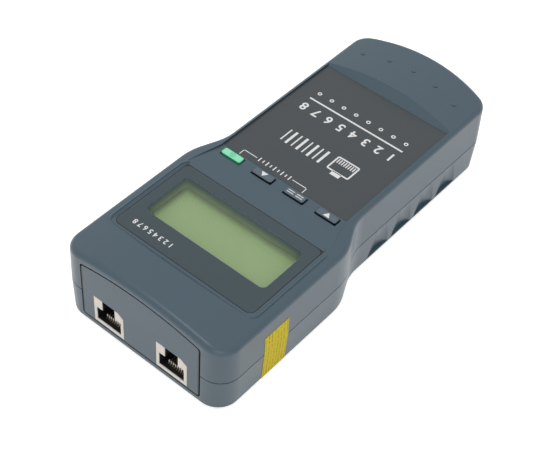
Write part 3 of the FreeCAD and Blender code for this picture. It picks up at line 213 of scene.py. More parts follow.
def build_frame_group():
    """Signed distance from the edge of an upright rounded rectangle, negative inside it."""
    group, start, end = new_group(
        "RoundedFrame",
        [("Vector", "NodeSocketVector", (0, 0, 0)),
         ("Centre", "NodeSocketVector", (0, 0, 0)),
         ("Half Size", "NodeSocketVector", (0.01, 0.01, 1.0)),
         ("Corner", "NodeSocketFloat", 0.001)],
        [("Distance", "NodeSocketFloat")])
    links = group.links
    shift = group.nodes.new("ShaderNodeVectorMath")
    shift.operation = "SUBTRACT"
    links.new(start.outputs["Vector"], shift.inputs[0])
    links.new(start.outputs["Centre"], shift.inputs[1])
    fold = group.nodes.new("ShaderNodeVectorMath")
    fold.operation = "ABSOLUTE"
    links.new(shift.outputs[0], fold.inputs[0])
    past = group.nodes.new("ShaderNodeVectorMath")
    past.operation = "SUBTRACT"
    links.new(fold.outputs[0], past.inputs[0])
    links.new(start.outputs["Half Size"], past.inputs[1])
    split = group.nodes.new("ShaderNodeSeparateXYZ")
    links.new(past.outputs[0], split.inputs[0])
    across = math_node(group, "ADD", split.outputs["X"], start.outputs["Corner"])
    along = math_node(group, "ADD", split.outputs["Y"], start.outputs["Corner"])
    out_across = math_node(group, "MAXIMUM", across, 0.0)
    out_along = math_node(group, "MAXIMUM", along, 0.0)
    square = math_node(group, "ADD", math_node(group, "POWER", out_across, 2.0),
                       math_node(group, "POWER", out_along, 2.0))
    outside = math_node(group, "SQRT", square, 0.0)
    inside = math_node(group, "MINIMUM", math_node(group, "MAXIMUM", across, along), 0.0)
    distance = math_node(group, "ADD", outside, inside)
    distance = math_node(group, "SUBTRACT", distance, start.outputs["Corner"])
    links.new(distance, end.inputs["Distance"])
    return group


def build_surface_group():
    """Moulded or printed surface: fine grain, slow patches of sheen, and faint handling marks."""
    group, start, end = new_group(
        "SurfaceGrain",
        [("Color", "NodeSocketColor", (0.5, 0.5, 0.5, 1.0)),
         ("Vector", "NodeSocketVector", (0, 0, 0)),
         ("Grain Scale", "NodeSocketFloat", 2500.0),
         ("Roughness", "NodeSocketFloat", 0.5),
         ("Roughness Spread", "NodeSocketFloat", 0.08),
         ("Colour Spread", "NodeSocketFloat", 0.06),
         ("Marks", "NodeSocketFloat", 0.05)],
        [("Color", "NodeSocketColor"), ("Roughness", "NodeSocketFloat"),
         ("Height", "NodeSocketFloat")])
    links = group.links
    vector = start.outputs["Vector"]
    fine = noise(group, vector, start.outputs["Grain Scale"], detail=3.0, roughness=0.65)
    patches = noise(group, vector, PATCH_SCALE)
    stretch = group.nodes.new("ShaderNodeMapping")
    stretch.inputs["Scale"].default_value = MARK_STRETCH
    stretch.inputs["Rotation"].default_value = (0.0, 0.0, MARK_TURN)
    links.new(vector, stretch.inputs["Vector"])
    marks = noise(group, stretch.outputs[0], 1.0, detail=3.0, roughness=0.6)
    marks = math_node(group, "SUBTRACT", marks, MARK_LEVEL, clamp=True)
    marks = math_node(group, "MULTIPLY", marks, start.outputs["Marks"])
    centred = math_node(group, "SUBTRACT", patches, 0.5)
    rough = math_node(group, "MULTIPLY", centred, start.outputs["Roughness Spread"])
    rough = math_node(group, "ADD", rough, start.outputs["Roughness"])
    rough = math_node(group, "SUBTRACT", rough, marks, clamp=True)
    tint = math_node(group, "SUBTRACT", fine, 0.5)
    tint = math_node(group, "MULTIPLY", tint, start.outputs["Colour Spread"])
    shade = math_node(group, "MULTIPLY", centred, start.outputs["Colour Spread"])
    tint = math_node(group, "ADD", tint, shade)
    tint = math_node(group, "ADD", tint, 1.0)
    tint = math_node(group, "ADD", tint, marks)
    mix = group.nodes.new("ShaderNodeMix")
    mix.data_type = "RGBA"
    mix.blend_type = "MULTIPLY"
    mix.inputs["Factor"].default_value = 1.0
    links.new(start.outputs["Color"], mix.inputs["A"])
    links.new(tint, mix.inputs["B"])
    links.new(mix.outputs["Result"], end.inputs["Color"])
    links.new(rough, end.inputs["Roughness"])
    links.new(fine, end.inputs["Height"])
    return group


def surface(name, colour_rgb, roughness, grain, bump, tint=0.06, marks=0.05, metallic=0.0,
            specular=0.5):
    """Material with the shared surface group feeding a Principled BSDF."""
    material = bpy.data.materials.new(name)
    material.use_nodes = True
    tree = material.node_tree
    shader = tree.nodes["Principled BSDF"]
    coordinates = tree.nodes.new("ShaderNodeTexCoord")
    grain_node = tree.nodes.new("ShaderNodeGroup")
    grain_node.node_tree = bpy.data.node_groups["SurfaceGrain"]
    grain_node.inputs["Color"].default_value = (*colour_rgb, 1.0)
    grain_node.inputs["Grain Scale"].default_value = grain
    grain_node.inputs["Roughness"].default_value = roughness
    grain_node.inputs["Colour Spread"].default_value = tint
    grain_node.inputs["Marks"].default_value = marks
    tree.links.new(coordinates.outputs["Object"], grain_node.inputs["Vector"])
    tree.links.new(grain_node.outputs["Color"], shader.inputs["Base Color"])
    tree.links.new(grain_node.outputs["Roughness"], shader.inputs["Roughness"])
    relief = tree.nodes.new("ShaderNodeBump")
    relief.inputs["Strength"].default_value = bump
    relief.inputs["Distance"].default_value = RELIEF_DEPTH
    tree.links.new(grain_node.outputs["Height"], relief.inputs["Height"])
    tree.links.new(relief.outputs[0], shader.inputs["Normal"])
    shader.inputs["Metallic"].default_value = metallic
    shader.inputs["Specular IOR Level"].default_value = specular
    material.diffuse_color = (*colour_rgb, 1.0)
    return material


def object_vector(tree):
    """Object coordinates of the material's Texture Coordinate node."""
    for node in tree.nodes:
        if node.bl_idname == "ShaderNodeTexCoord":
            return node.outputs["Object"]
    raise RuntimeError("the material has no texture coordinates")


def recolour(material, socket):
    """Feed a colour socket into the surface group of a material."""
    for node in material.node_tree.nodes:
        if node.bl_idname == "ShaderNodeGroup" and node.node_tree.name == "SurfaceGrain":
            material.node_tree.links.new(socket, node.inputs["Color"])
            return
    raise RuntimeError("the material has no surface group")


def frame_distance(tree, half, low, high, corner):
    """Distance outside a rounded rectangle centred on X, between two levels of Y."""
    frame_node = tree.nodes.new("ShaderNodeGroup")
    frame_node.node_tree = bpy.data.node_groups["RoundedFrame"]
    frame_node.inputs["Centre"].default_value = (0.0, (low + high) / 2, 0.0)
    frame_node.inputs["Half Size"].default_value = (half, (high - low) / 2, 1.0)
    frame_node.inputs["Corner"].default_value = corner
    tree.links.new(object_vector(tree), frame_node.inputs["Vector"])
    return frame_node.outputs["Distance"]


def view_distance(tree):
    """Distance outside the clear part of the window."""
    sizes = bpy.context.scene.tester_sizes
    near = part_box("display_window")[0].y
    return frame_distance(tree, sizes.view_wide / 2, near + sizes.view_near,
                          near + sizes.view_far, sizes.view_corner)


def axis(tree, name):
    """One axis of the object coordinates."""
    split = tree.nodes.new("ShaderNodeSeparateXYZ")
    tree.links.new(object_vector(tree), split.inputs[0])
    return split.outputs[name]


def dress(material, *nodes):
    """Give CAD nodes a material in every slot."""
    for name in nodes:
        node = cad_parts[name]
        if not node.material_slots:
            node.data.materials.append(material)
        for slot in node.material_slots:
            slot.material = material


def soften(*nodes):
    """Shade CAD nodes smooth except over real edges."""
    for name in nodes:
        select_only(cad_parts[name])
        bpy.ops.object.shade_smooth_by_angle(angle=SMOOTH_ANGLE)


# ---------------------------------------------------------------- modelling helpers

def select_only(thing):
    """Make one object the whole selection and the active one."""
    bpy.ops.object.select_all(action="DESELECT")
    thing.select_set(True)
    bpy.context.view_layer.objects.active = thing


def select_faces(test):
    """In edit mode, select the faces that pass a test on their mesh data."""
    bpy.ops.mesh.select_mode(type="FACE")
    bpy.ops.mesh.select_all(action="DESELECT")
    bpy.ops.object.mode_set(mode="OBJECT")
    for face in bpy.context.object.data.polygons:
        face.select = test(face)
    bpy.ops.object.mode_set(mode="EDIT")


def settle(piece, body, material):
    """Apply a finished piece's place, give it its material and let it ride on a body."""
    select_only(piece)
    bpy.ops.object.transform_apply(location=True, rotation=True, scale=True)
    piece.data.materials.clear()
    piece.data.materials.append(material)
    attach(piece, body)
    return piece


def name_piece(name):
    """Name the active object and its mesh."""
    piece = bpy.context.object
    piece.name = name
    piece.data.name = name
    return piece


def film_from_face(name, thickness):
    """Thicken the active flat mesh upwards into a printed film."""
    bpy.ops.object.mode_set(mode="EDIT")
    bpy.ops.mesh.select_all(action="SELECT")
    bpy.ops.mesh.extrude_region_move(TRANSFORM_OT_translate={"value": (0, 0, thickness)})
    bpy.ops.mesh.select_all(action="SELECT")
    bpy.ops.mesh.normals_make_consistent(inside=False)
    bpy.ops.object.mode_set(mode="OBJECT")
    return name_piece(name)


def flat_plate(low, high, height, corner=0.0):
    """Flat rectangle between two corners, with rounded corners where they are given."""
    bpy.ops.object.select_all(action="DESELECT")
    bpy.ops.mesh.primitive_plane_add(size=1.0, location=(0, 0, 0))
    plate = bpy.context.object
    plate.scale = (high[0] - low[0], high[1] - low[1], 1.0)
    plate.location = ((low[0] + high[0]) / 2, (low[1] + high[1]) / 2, height)
    bpy.ops.object.transform_apply(location=True, rotation=True, scale=True)
    if corner:
        bpy.ops.object.mode_set(mode="EDIT")
        bpy.ops.mesh.select_all(action="SELECT")
        bpy.ops.mesh.bevel(offset=corner, segments=8, affect="VERTICES")
        bpy.ops.object.mode_set(mode="OBJECT")
    return plate


def hollow_out(width):
    """Turn the active flat plate into a flat ring of a given width."""
    bpy.ops.object.mode_set(mode="EDIT")
    bpy.ops.mesh.select_all(action="SELECT")
    bpy.ops.mesh.inset(thickness=width)
    bpy.ops.mesh.delete(type="FACE")
    bpy.ops.object.mode_set(mode="OBJECT")


def printed_bar(name, low, high, height, thickness):
    """Thin printed rectangle between two corners on a flat face."""
    flat_plate(low, high, height)
    return film_from_face(name, thickness)


def printed_line(name, start, end, width, height, thickness):
    """Thin printed stroke between two points, in any direction."""
    start, end = Vector(start), Vector(end)
    reach = (end - start).length / 2 + width / 2
    stroke = flat_plate((-reach, -width / 2), (reach, width / 2), height)
    stroke.rotation_euler.z = math.atan2(end.y - start.y, end.x - start.x)
    stroke.location = ((start.x + end.x) / 2, (start.y + end.y) / 2, 0)
    bpy.ops.object.transform_apply(location=True, rotation=True, scale=True)
    return film_from_face(name, thickness)


def printed_outline(name, low, high, width, height, thickness, corner):
    """Thin printed outline of a rounded rectangle."""
    flat_plate(low, high, height, corner)
    hollow_out(width)
    return film_from_face(name, thickness)


def printed_dot(name, centre, radius, height, thickness, hole=0.0):
    """Thin printed dot, or ring where it has a hole."""
    bpy.ops.object.select_all(action="DESELECT")
    bpy.ops.mesh.primitive_circle_add(vertices=32, radius=radius, fill_type="NGON",
                                      location=(centre[0], centre[1], height))
    bpy.ops.object.transform_apply(location=True, rotation=True, scale=True)
    if hole:
        hollow_out(radius - hole)
    return film_from_face(name, thickness)


def printed_triangle(name, centre, half_base, rise, height, thickness):
    """Thin printed triangle; a negative rise turns its tip towards -Y."""
    bpy.ops.object.select_all(action="DESELECT")
    bpy.ops.mesh.primitive_circle_add(vertices=3, radius=1.0, fill_type="NGON")
    piece = bpy.context.object
    piece.rotation_euler.z = 0.0 if rise > 0 else math.pi
    piece.scale = (half_base / math.sin(math.radians(60)), abs(rise) / 1.5, 1.0)
    piece.location = (centre[0], centre[1] - rise / 6, height)
    bpy.ops.object.transform_apply(location=True, rotation=True, scale=True)
    return film_from_face(name, thickness)


def printed_text(name, text, centre, size, height, thickness, bold=0.0):
    """Plain digits as a thin film, read with the display end up."""
    bpy.ops.object.select_all(action="DESELECT")
    bpy.ops.object.text_add(location=(0, 0, 0))
    letters = bpy.context.object
    letters.data.body = text
    letters.data.size = size
    letters.data.align_x = "CENTER"
    letters.data.align_y = "CENTER"
    letters.data.extrude = thickness / 2
    letters.data.offset = bold
    letters.data.resolution_u = 3
    bpy.ops.object.convert(target="MESH")
    piece = name_piece(name)
    piece.rotation_euler.z = math.pi
    piece.location = (centre[0], centre[1], height + thickness / 2)
    bpy.ops.object.transform_apply(location=True, rotation=True, scale=True)
    return piece


def in_row(first, count, pitch):
    """A piece and its copies in a row along X, each with its own mesh."""
    pieces = [first]
    for step in range(1, count):
        piece = first.copy()
        piece.data = first.data.copy()
        piece.location.x = pitch * step
        bpy.context.collection.objects.link(piece)
        pieces.append(piece)
    return pieces


def join(name, pieces):
    """Join several meshes into one piece."""
    bpy.ops.object.select_all(action="DESELECT")
    for piece in pieces:
        piece.select_set(True)
    bpy.context.view_layer.objects.active = pieces[0]
    bpy.ops.object.join()
    return name_piece(name)


# ---------------------------------------------------------------- materials

def moulded_materials(colours, sizes):
    """Plain finishes, keyed by the place they are used."""
    grain = 1.0 / sizes.grain
    return {
        "casing": surface("BlueGreyMoulding", colours.casing, 0.33, grain, 0.25, marks=0.10),
        "label": surface("LabelFilm", colours.label, 0.34, grain * 0.6, 0.10),
        "ink": surface("WhiteInk", colours.ink, 0.5, grain, 0.1, tint=0.03),
        "shield": surface("PlatedShield", colours.shield, 0.38, grain, 0.1, metallic=0.25),
        "socket": surface("BlackSocketMoulding", (0.010, 0.010, 0.011), 0.42, grain, 0.15),
        "contact": surface("GoldFlashedWireInPaintedShade", colours.contact, 0.40, grain, 0.05, metallic=1.0),
        # painted highlight: near-white bends where light catches the gold contacts
        "contact_glint": surface("PaintedGlintWireBend", (0.95, 0.94, 0.90), 0.45, grain, 0.05),
        "screw": surface("ZincScrew", (0.42, 0.42, 0.43), 0.33, grain, 0.1, metallic=1.0),
        "board": surface("SolderMask", (0.02, 0.16, 0.06), 0.35, grain * 0.3, 0.2, tint=0.2),
        "chip": surface("ChipEpoxy", (0.02, 0.02, 0.022), 0.55, grain, 0.2),
        "can": surface("DrawnCan", (0.7, 0.7, 0.7), 0.25, grain, 0.05, metallic=1.0),
        "sleeve": surface("CapacitorSleeve", (0.04, 0.05, 0.16), 0.3, grain, 0.05),
        "bezel": surface("BlackBezel", (0.02, 0.02, 0.02), 0.4, grain, 0.1),
        "guide": surface("LightGuide", (0.7, 0.75, 0.6), 0.3, grain, 0.05),
        "strip": surface("SiliconeStrip", (0.1, 0.1, 0.1), 0.6, grain, 0.2),
        "battery": surface("BatteryJacket", (0.09, 0.09, 0.10), 0.3, grain, 0.05, metallic=0.3),
        "foam": surface("FoamPad", (0.05, 0.05, 0.05), 0.9, grain * 0.5, 0.8, tint=0.4),
        "vinyl": surface("SnapVinyl", (0.02, 0.02, 0.02), 0.4, grain, 0.1),
        "red_wire": surface("RedInsulation", (0.5, 0.02, 0.02), 0.4, grain, 0.1),
        "black_wire": surface("BlackInsulation", (0.015, 0.015, 0.015), 0.4, grain, 0.1),
        "panel": panel_moulding(colours, grain, sizes.seam),
        "window": window_lens(colours, grain, sizes.window_gap),
        "view_wall": view_wall(colours, grain),
        "display": display_cell(colours, sizes.shade_reach),
        "power_key": capped_key("GreenCap", colours.power_key, colours.power_side_shade, grain,
                                sizes.rim),
        "power_sign": surface("SignGreen", colours.power_sign, 0.4, grain, 0.1, tint=0.03),
        "grey_key": capped_key("GreyCap", colours.casing, colours.seam, grain, sizes.rim),
        "seal": ruled_seal(colours, grain),
    }


def panel_moulding(colours, grain, seam):
    """Socket panel: moulded like the casing, painted shadow black at its left, right and lower
    edge.
    """
    material = surface("PanelMoulding", colours.casing, 0.36, grain, 0.25)
    tree = material.node_tree
    shield_low, shield_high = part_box("socket_2_shield")
    panel_half = shield_high.x + 5.75 * MM
    painted_shadow_top = shield_low.z - 0.1 * MM
    # painted shadow: the panel's edges are coloured black where its gap falls in shade
    across = math_node(tree, "ABSOLUTE", axis(tree, "X"), 0.0)
    side = math_node(tree, "GREATER_THAN", across, panel_half - seam)
    under = math_node(tree, "LESS_THAN", axis(tree, "Z"), painted_shadow_top)
    recolour(material, blend_colours(tree, math_node(tree, "MAXIMUM", side, under),
                                     colours.casing, colours.seam))
    return material


def window_lens(colours, grain, gap):
    """Window: opaque where it is printed behind, clear over the display, painted shadow black at
    its gap.
    """
    material = surface("PrintedWindow", colours.window_print, 0.16, grain, 0.02, marks=0.02,
                       tint=0.02)
    tree = material.node_tree
    haze, blur, corner = 0.06, 0.05 * MM, 2.6 * MM
    opaque = soft_step(tree, view_distance(tree), -blur, blur)
    veil = math_node(tree, "MAXIMUM", opaque, haze)
    tree.links.new(veil, tree.nodes["Principled BSDF"].inputs["Alpha"])
    low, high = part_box("display_window")
    edge = frame_distance(tree, high.x, low.y, high.y, corner)
    # painted shadow: black at the lens edge, where the gap round the window falls in shade
    recolour(material, blend_colours(tree, soft_step(tree, edge, -gap, -gap / 2),
                                     colours.window_print, colours.seam))
    return material


def view_wall(colours, grain):
    """Wall from window to display, with painted light: border grey above, olive glow of the
    display below.
    """
    material = surface("ViewWall", colours.window_print, 0.7, grain, 0.1, specular=0.1)
    tree = material.node_tree
    low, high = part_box("lcd_glass")[1].z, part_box("display_window")[1].z
    # painted light: the lip is lightened against the shade inside the view, the foot tinted by
    # painted olive glow from the display
    recolour(material, blend_colours(tree, soft_step(tree, axis(tree, "Z"), low, high),
                                     colours.view_foot_painted_glow, colours.view_lip_painted_light))
    return material


def display_cell(colours, reach):
    """Resting display: even green, shaded softly towards the edges of its view."""
    grain, overlap = 1200.0, 0.3 * MM
    material = surface("DisplayCell", colours.display, 0.35, grain, 0.03, tint=0.03)
    tree = material.node_tree
    shade = soft_step(tree, view_distance(tree), -reach, overlap)
    recolour(material, blend_colours(tree, shade, colours.display, colours.window_shade))
    return material


def capped_key(name, top, sides, grain, rim):
    """Key with a light cap and painted shade on its sides below the rim."""
    material = surface(name, top, 0.36, grain, 0.2, specular=0.9)
    tree = material.node_tree
    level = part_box("power_key")[1].z - rim
    # painted shade below the rim: the sides take the darker colour
    capped = math_node(tree, "GREATER_THAN", axis(tree, "Z"), level)
    recolour(material, blend_colours(tree, capped, sides, top))
    return material


def ruled_seal(colours, grain):
    """Yellow seal paper with plain, unevenly inked brown rules."""
    material = surface("YellowSealPaper", colours.seal, 0.65, grain * 0.7, 0.15, tint=0.08,
                       specular=0.12)
    tree = material.node_tree
    pitch, inked_share, strength, blot_scale = 1.7 * MM, 0.30, 0.75, 1300.0
    turns = math_node(tree, "MULTIPLY", axis(tree, "Y"), 1.0 / pitch)
    rule = math_node(tree, "LESS_THAN", math_node(tree, "FRACT", turns, 0.0), inked_share)
    blots = noise(tree, object_vector(tree), blot_scale, detail=1.0)
    dry, wet = 0.42, 0.56
    ink = soft_step(tree, blots, dry, wet)
    spread = math_node(tree, "MULTIPLY", math_node(tree, "MULTIPLY", rule, ink), strength)
    recolour(material, blend_colours(tree, spread, colours.seal, colours.seal_rule))
    return material


FINISHES = {}                       # filled by main before the operators run


# ---------------------------------------------------------------- pieces

class TESTER_OT_shells(bpy.types.Operator):
    """Finish the shells, the battery door, the socket panel and the screws"""
    bl_idname = "tester.shells"
    bl_label = "Shells and Panel"

    def execute(self, context):
        dress(FINISHES["casing"], "front_casing", "rear_casing", "battery_door")
        dress(FINISHES["panel"], "end_panel")
        dress(FINISHES["screw"], "case_screws", "board_screws", "display_screws")
        soften("front_casing", "rear_casing", "battery_door", "end_panel")
        return {"FINISHED"}


class TESTER_OT_display(bpy.types.Operator):
    """Finish the window and display, wall the view between them and print the border"""
    bl_idname = "tester.display"
    bl_label = "Window and Display"

    def execute(self, context):
        sizes = context.scene.tester_sizes
        dress(FINISHES["window"], "display_window")
        dress(FINISHES["display"], "lcd_glass")
        dress(FINISHES["bezel"], "lcd_bezel")
        dress(FINISHES["guide"], "lcd_backlight")
        dress(FINISHES["strip"], "contact_strips")
        settle(self.view_liner(sizes), "casing", FINISHES["view_wall"])
        settle(self.bead(sizes), "casing", FINISHES["casing"])
        settle(self.digits(sizes), "casing", FINISHES["ink"])
        return {"FINISHED"}

    def view_liner(self, sizes):
        """Thin wall lining the opening between the window and the display, which carries its
        painted light.
        """
        near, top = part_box("display_window")[0].y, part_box("display_window")[1].z
        slack, base_gap, top_gap, skin = 0.01 * MM, 0.02 * MM, 0.03 * MM, 0.15 * MM
        half = sizes.view_wide / 2 - slack
        low = (-half, near + sizes.view_near + slack)
        high = (half, near + sizes.view_far - slack)
        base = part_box("lcd_glass")[1].z + base_gap
        flat_plate(low, high, base, sizes.view_corner)
        liner = film_from_face("view_liner", top - top_gap - base)
        bpy.ops.object.mode_set(mode="EDIT")
        select_faces(lambda face: abs(face.normal.z) > UPRIGHT)
        bpy.ops.mesh.delete(type="FACE")
        bpy.ops.object.mode_set(mode="OBJECT")
        wall = liner.modifiers.new("Wall", "SOLIDIFY")
        wall.thickness = skin
        wall.offset = -1.0
        bpy.ops.object.modifier_apply(modifier=wall.name)
        return liner

    def bead(self, sizes):
        """Low bead moulded in the face round the window, run out along its far side."""
        low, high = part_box("display_window")
        shoulder, crest, slope, sink = 0.26 * MM, 0.12 * MM, 0.2 * MM, 0.45 * MM
        grow = sizes.bead_offset
        flat_plate((low.x - grow, low.y - grow), (high.x + grow, high.y + grow), high.z,
                   2 * grow)
        hollow_out(sizes.bead)
        bead = film_from_face("window_bead", shoulder)
        bpy.ops.object.mode_set(mode="EDIT")
        select_faces(lambda face: face.normal.z > UPRIGHT)
        bpy.ops.mesh.inset(thickness=slope)
        bpy.ops.transform.translate(value=(0, 0, crest))
        far = high.y + grow - 1.0 * MM
        select_faces(lambda face: face.center.y > far)
        bpy.ops.transform.translate(value=(0, 0, -sink))
        bpy.ops.object.mode_set(mode="OBJECT")
        return bead

    def digits(self, sizes):
        """Row of plain digits on the near border, one for each wire."""
        low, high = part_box("display_window")
        centre, size, bold = (low.x + 15.6 * MM, low.y + 5.2 * MM), 3.3 * MM, 0.04 * MM
        row = " ".join(str(wire + 1) for wire in range(WIRES))
        return printed_text("window_digits", row, centre, size, high.z, sizes.ink_thick, bold)


class TESTER_OT_keys(bpy.types.Operator):
    """Finish the four keys and print their symbols"""
    bl_idname = "tester.keys"
    bl_label = "Keys"

    def execute(self, context):
        sizes = context.scene.tester_sizes
        dress(FINISHES["power_key"], "power_key")
        dress(FINISHES["grey_key"], "down_key", "pair_key", "up_key")
        dress(FINISHES["socket"], "power_plunger", "down_plunger", "pair_plunger", "up_plunger")
        dress(FINISHES["can"], "switch_bodies")
        rise, half_base = 2.3 * MM, 1.5 * MM
        for key, way in (("down", -1), ("up", 1)):
            centre, top = self.cap(key)
            arrow = printed_triangle(key + "_arrow", centre, half_base, way * rise, top,
                                     sizes.ink_thick)
            settle(arrow, key + "_button", FINISHES["ink"])
        settle(self.pair_sign(sizes), "pair_button", FINISHES["ink"])
        settle(self.power_sign(), "power_button", FINISHES["power_sign"])
        return {"FINISHED"}

    def cap(self, key):
        """Middle and height of a key's cap."""
        low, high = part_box(key + "_key")
        return (low + high) / 2, high.z

    def pair_sign(self, sizes):
        """Two pairs of short strokes, for a pair of wires."""
        centre, top = self.cap("pair")
        spacing, row_gap, reach = 2.1 * MM, 0.55 * MM, 1.4 * MM
        middle = centre.x - spacing
        strokes = []
        for level in (centre.y - row_gap, centre.y + row_gap):
            stroke = printed_line("stroke", (middle - reach, level), (middle + reach, level),
                                  sizes.line, top, sizes.ink_thick)
            strokes += in_row(stroke, 2, 2 * spacing)
        return join("pair_sign", strokes)

    def power_sign(self):
        """Raised ring and stroke on the power key."""
        centre, top = self.cap("power")
        relief, outer, inner = 0.08 * MM, 1.15 * MM, 0.85 * MM
        reach, width = 0.45 * MM, 0.28 * MM
        ring = printed_dot("power_ring", centre, outer, top, relief, inner)
        stroke = printed_line("power_stroke", (centre.x, centre.y - reach),
                              (centre.x, centre.y + reach), width, top, relief)
        return join("power_sign", [ring, stroke])


class TESTER_OT_label(bpy.types.Operator):
    """Print the bracket, the scale and a plain wiring diagram on the handle overlay"""
    bl_idname = "tester.label"
    bl_label = "Label Print"

    def execute(self, context):
        sizes = context.scene.tester_sizes
        dress(FINISHES["label"], "face_label")
        self.low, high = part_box("face_label")
        self.top, self.ink = high.z, sizes.ink_thick
        prints = self.bracket(sizes) + self.plug() + self.wires() + self.ends(sizes)
        settle(join("label_print", prints), "casing", FINISHES["ink"])
        return {"FINISHED"}

    def line(self, name, start, end, width):
        """Printed stroke with its ends given along the label from its near edge."""
        near = self.low.y
        return printed_line(name, (start[0], near + start[1]), (end[0], near + end[1]), width,
                            self.top, self.ink)

    def bracket(self, sizes):
        """Thin line that ties the power key to the pair key, with a short scale in it."""
        offset, gap = 0.8 * MM, 1.6 * MM
        left = (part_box("power_key")[0].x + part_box("power_key")[1].x) / 2 + offset
        right = (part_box("pair_key")[0].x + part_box("pair_key")[1].x) / 2 + offset
        level, foot = 3.1 * MM, 0.3 * MM
        scale_low, scale_high, long_ticks = -14.9 * MM, 0.2 * MM, 5
        long_reach, short_reach = 0.95 * MM, 0.5 * MM
        thin = sizes.line
        prints = [self.line("bracket_left", (left, foot), (left, level), thin),
                  self.line("bracket_start", (left, level), (scale_low - gap, level), thin),
                  self.line("bracket_end", (scale_high + gap, level), (right, level), thin),
                  self.line("bracket_right", (right, level), (right, foot), thin)]
        pitch = (scale_high - scale_low) / (long_ticks - 1)
        for count, across, reach in ((long_ticks, scale_low, long_reach),
                                     (long_ticks - 1, scale_low + pitch / 2, short_reach)):
            tick = self.line("tick", (across, level - reach), (across, level + reach),
                             1.4 * thin)
            prints += in_row(tick, count, pitch)
        return prints

    def plug(self):
        """Plain outline of a modular plug with its latch and eight contacts."""
        near = self.low.y
        centre, half, start, end = 12.0 * MM, 5.4 * MM, 17.5 * MM, 26.0 * MM
        thick, corner, latch_half, latch_reach = 0.7 * MM, 0.9 * MM, 0.4 * half, 1.9 * MM
        pitch, width, foot, tip = 1.1 * MM, 0.5 * MM, end - 3.4 * MM, end - 1.3 * MM
        body = printed_outline("plug_body", (centre - half, near + start),
                               (centre + half, near + end), thick, self.top, self.ink,
                               corner)
        latch = printed_bar("plug_latch", (centre - latch_half, near + start - latch_reach),
                            (centre + latch_half, near + start + thick / 2), self.top, self.ink)
        across = centre - (WIRES - 1) / 2 * pitch
        contact = self.line("plug_contact", (across, foot), (across, tip), width)
        return [body, latch] + in_row(contact, WIRES, pitch)

    def wires(self):
        """Eight plain wires beside the plug, thin and thick by turns."""
        first, pitch, thin, thick = 2.4 * MM, 2.7 * MM, 0.6 * MM, 1.1 * MM
        start, end = 17.8 * MM, 24.6 * MM
        prints = []
        for across, width in ((first, thick), (first - pitch, thin)):
            wire = self.line("wire", (across, start), (across, end), width)
            prints += in_row(wire, WIRES // 2, -2 * pitch)
        return prints

    def ends(self, sizes):
        """Numbered wire ends over a rule and a row of rings."""
        near = self.low.y
        digits, rule, rings = 39.5 * MM, 45.0 * MM, 49.6 * MM
        bold, outer, inner, rule_width = 0.12 * MM, 0.95 * MM, 0.45 * MM, 0.8 * MM
        last = (WIRES - 1) / 2 * sizes.wire_pitch
        prints = []
        for step in range(WIRES):
            across = last - step * sizes.wire_pitch
            prints.append(printed_text(f"digit_{step}", str(step + 1), (across, near + digits),
                                       sizes.digit, self.top, self.ink, bold))
        ring = printed_dot("ring", (-last, near + rings), outer, self.top, self.ink, inner)
        prints += in_row(ring, WIRES, sizes.wire_pitch)
        reach = WIRES / 2 * sizes.wire_pitch - 2.0 * MM
        prints.append(self.line("rule", (-reach, rule), (reach, rule), rule_width))
        return prints


class TESTER_OT_sockets(bpy.types.Operator):
    """Finish the two sockets and give their contact wires near-white bends as painted highlights
    """
    bl_idname = "tester.sockets"
    bl_label = "Sockets"

    def execute(self, context):
        for name in ("socket_1", "socket_2"):
            dress(FINISHES["shield"], name + "_shield")
            dress(FINISHES["socket"], name + "_body")
            dress(FINISHES["contact"], name + "_contacts")
            settle(self.bends(name), "casing", FINISHES["contact_glint"])
        return {"FINISHED"}

    def bend(self, centre):
        """Front bend of one contact wire, near-white as a painted highlight."""
        size, bevel = (0.42 * MM, 0.45 * MM, 1.2 * MM), 0.12 * MM
        bpy.ops.object.select_all(action="DESELECT")
        bpy.ops.mesh.primitive_cube_add(size=1.0, location=(0, 0, 0))
        bend = bpy.context.object
        bend.scale = size
        bend.location = centre
        bpy.ops.object.transform_apply(location=True, rotation=True, scale=True)
        bpy.ops.object.mode_set(mode="EDIT")
        bpy.ops.mesh.select_all(action="SELECT")
        bpy.ops.mesh.bevel(offset=bevel, segments=2, affect="EDGES")
        bpy.ops.object.mode_set(mode="OBJECT")
        return bend

    def bends(self, name):
        """One bend and its copies, at the eight contact wires of a socket."""
        low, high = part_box(name + "_contacts")
        wire, setback, level = 0.45 * MM, low.y + 0.75 * MM, low.z + 1.1 * MM
        pitch = (high.x - low.x - wire) / (WIRES - 1)
        bend = self.bend((low.x + wire / 2, setback, level))
        return join(name + "_bends", in_row(bend, WIRES, pitch))


class TESTER_OT_inside(bpy.types.Operator):
    """Finish the boards, their parts and the battery with its leads"""
    bl_idname = "tester.inside"
    bl_label = "Boards and Battery"

    def execute(self, context):
        for finish, nodes in {
                "board": ("main_board", "display_board"), "chip": ("controller_chip",),
                "can": ("crystal",), "sleeve": ("capacitors",),
                "socket": ("board_header", "header_receptacle"), "battery": ("battery",),
                "foam": ("battery_foam",), "vinyl": ("battery_snap",),
                "red_wire": ("red_lead",), "black_wire": ("black_lead",)}.items():
            dress(FINISHES[finish], *nodes)
        return {"FINISHED"}


class TESTER_OT_seal(bpy.types.Operator):
    """Finish the yellow seal across the split"""
    bl_idname = "tester.seal"
    bl_label = "Seal"

    def execute(self, context):
        dress(FINISHES["seal"], "seal_sticker")
        return {"FINISHED"}


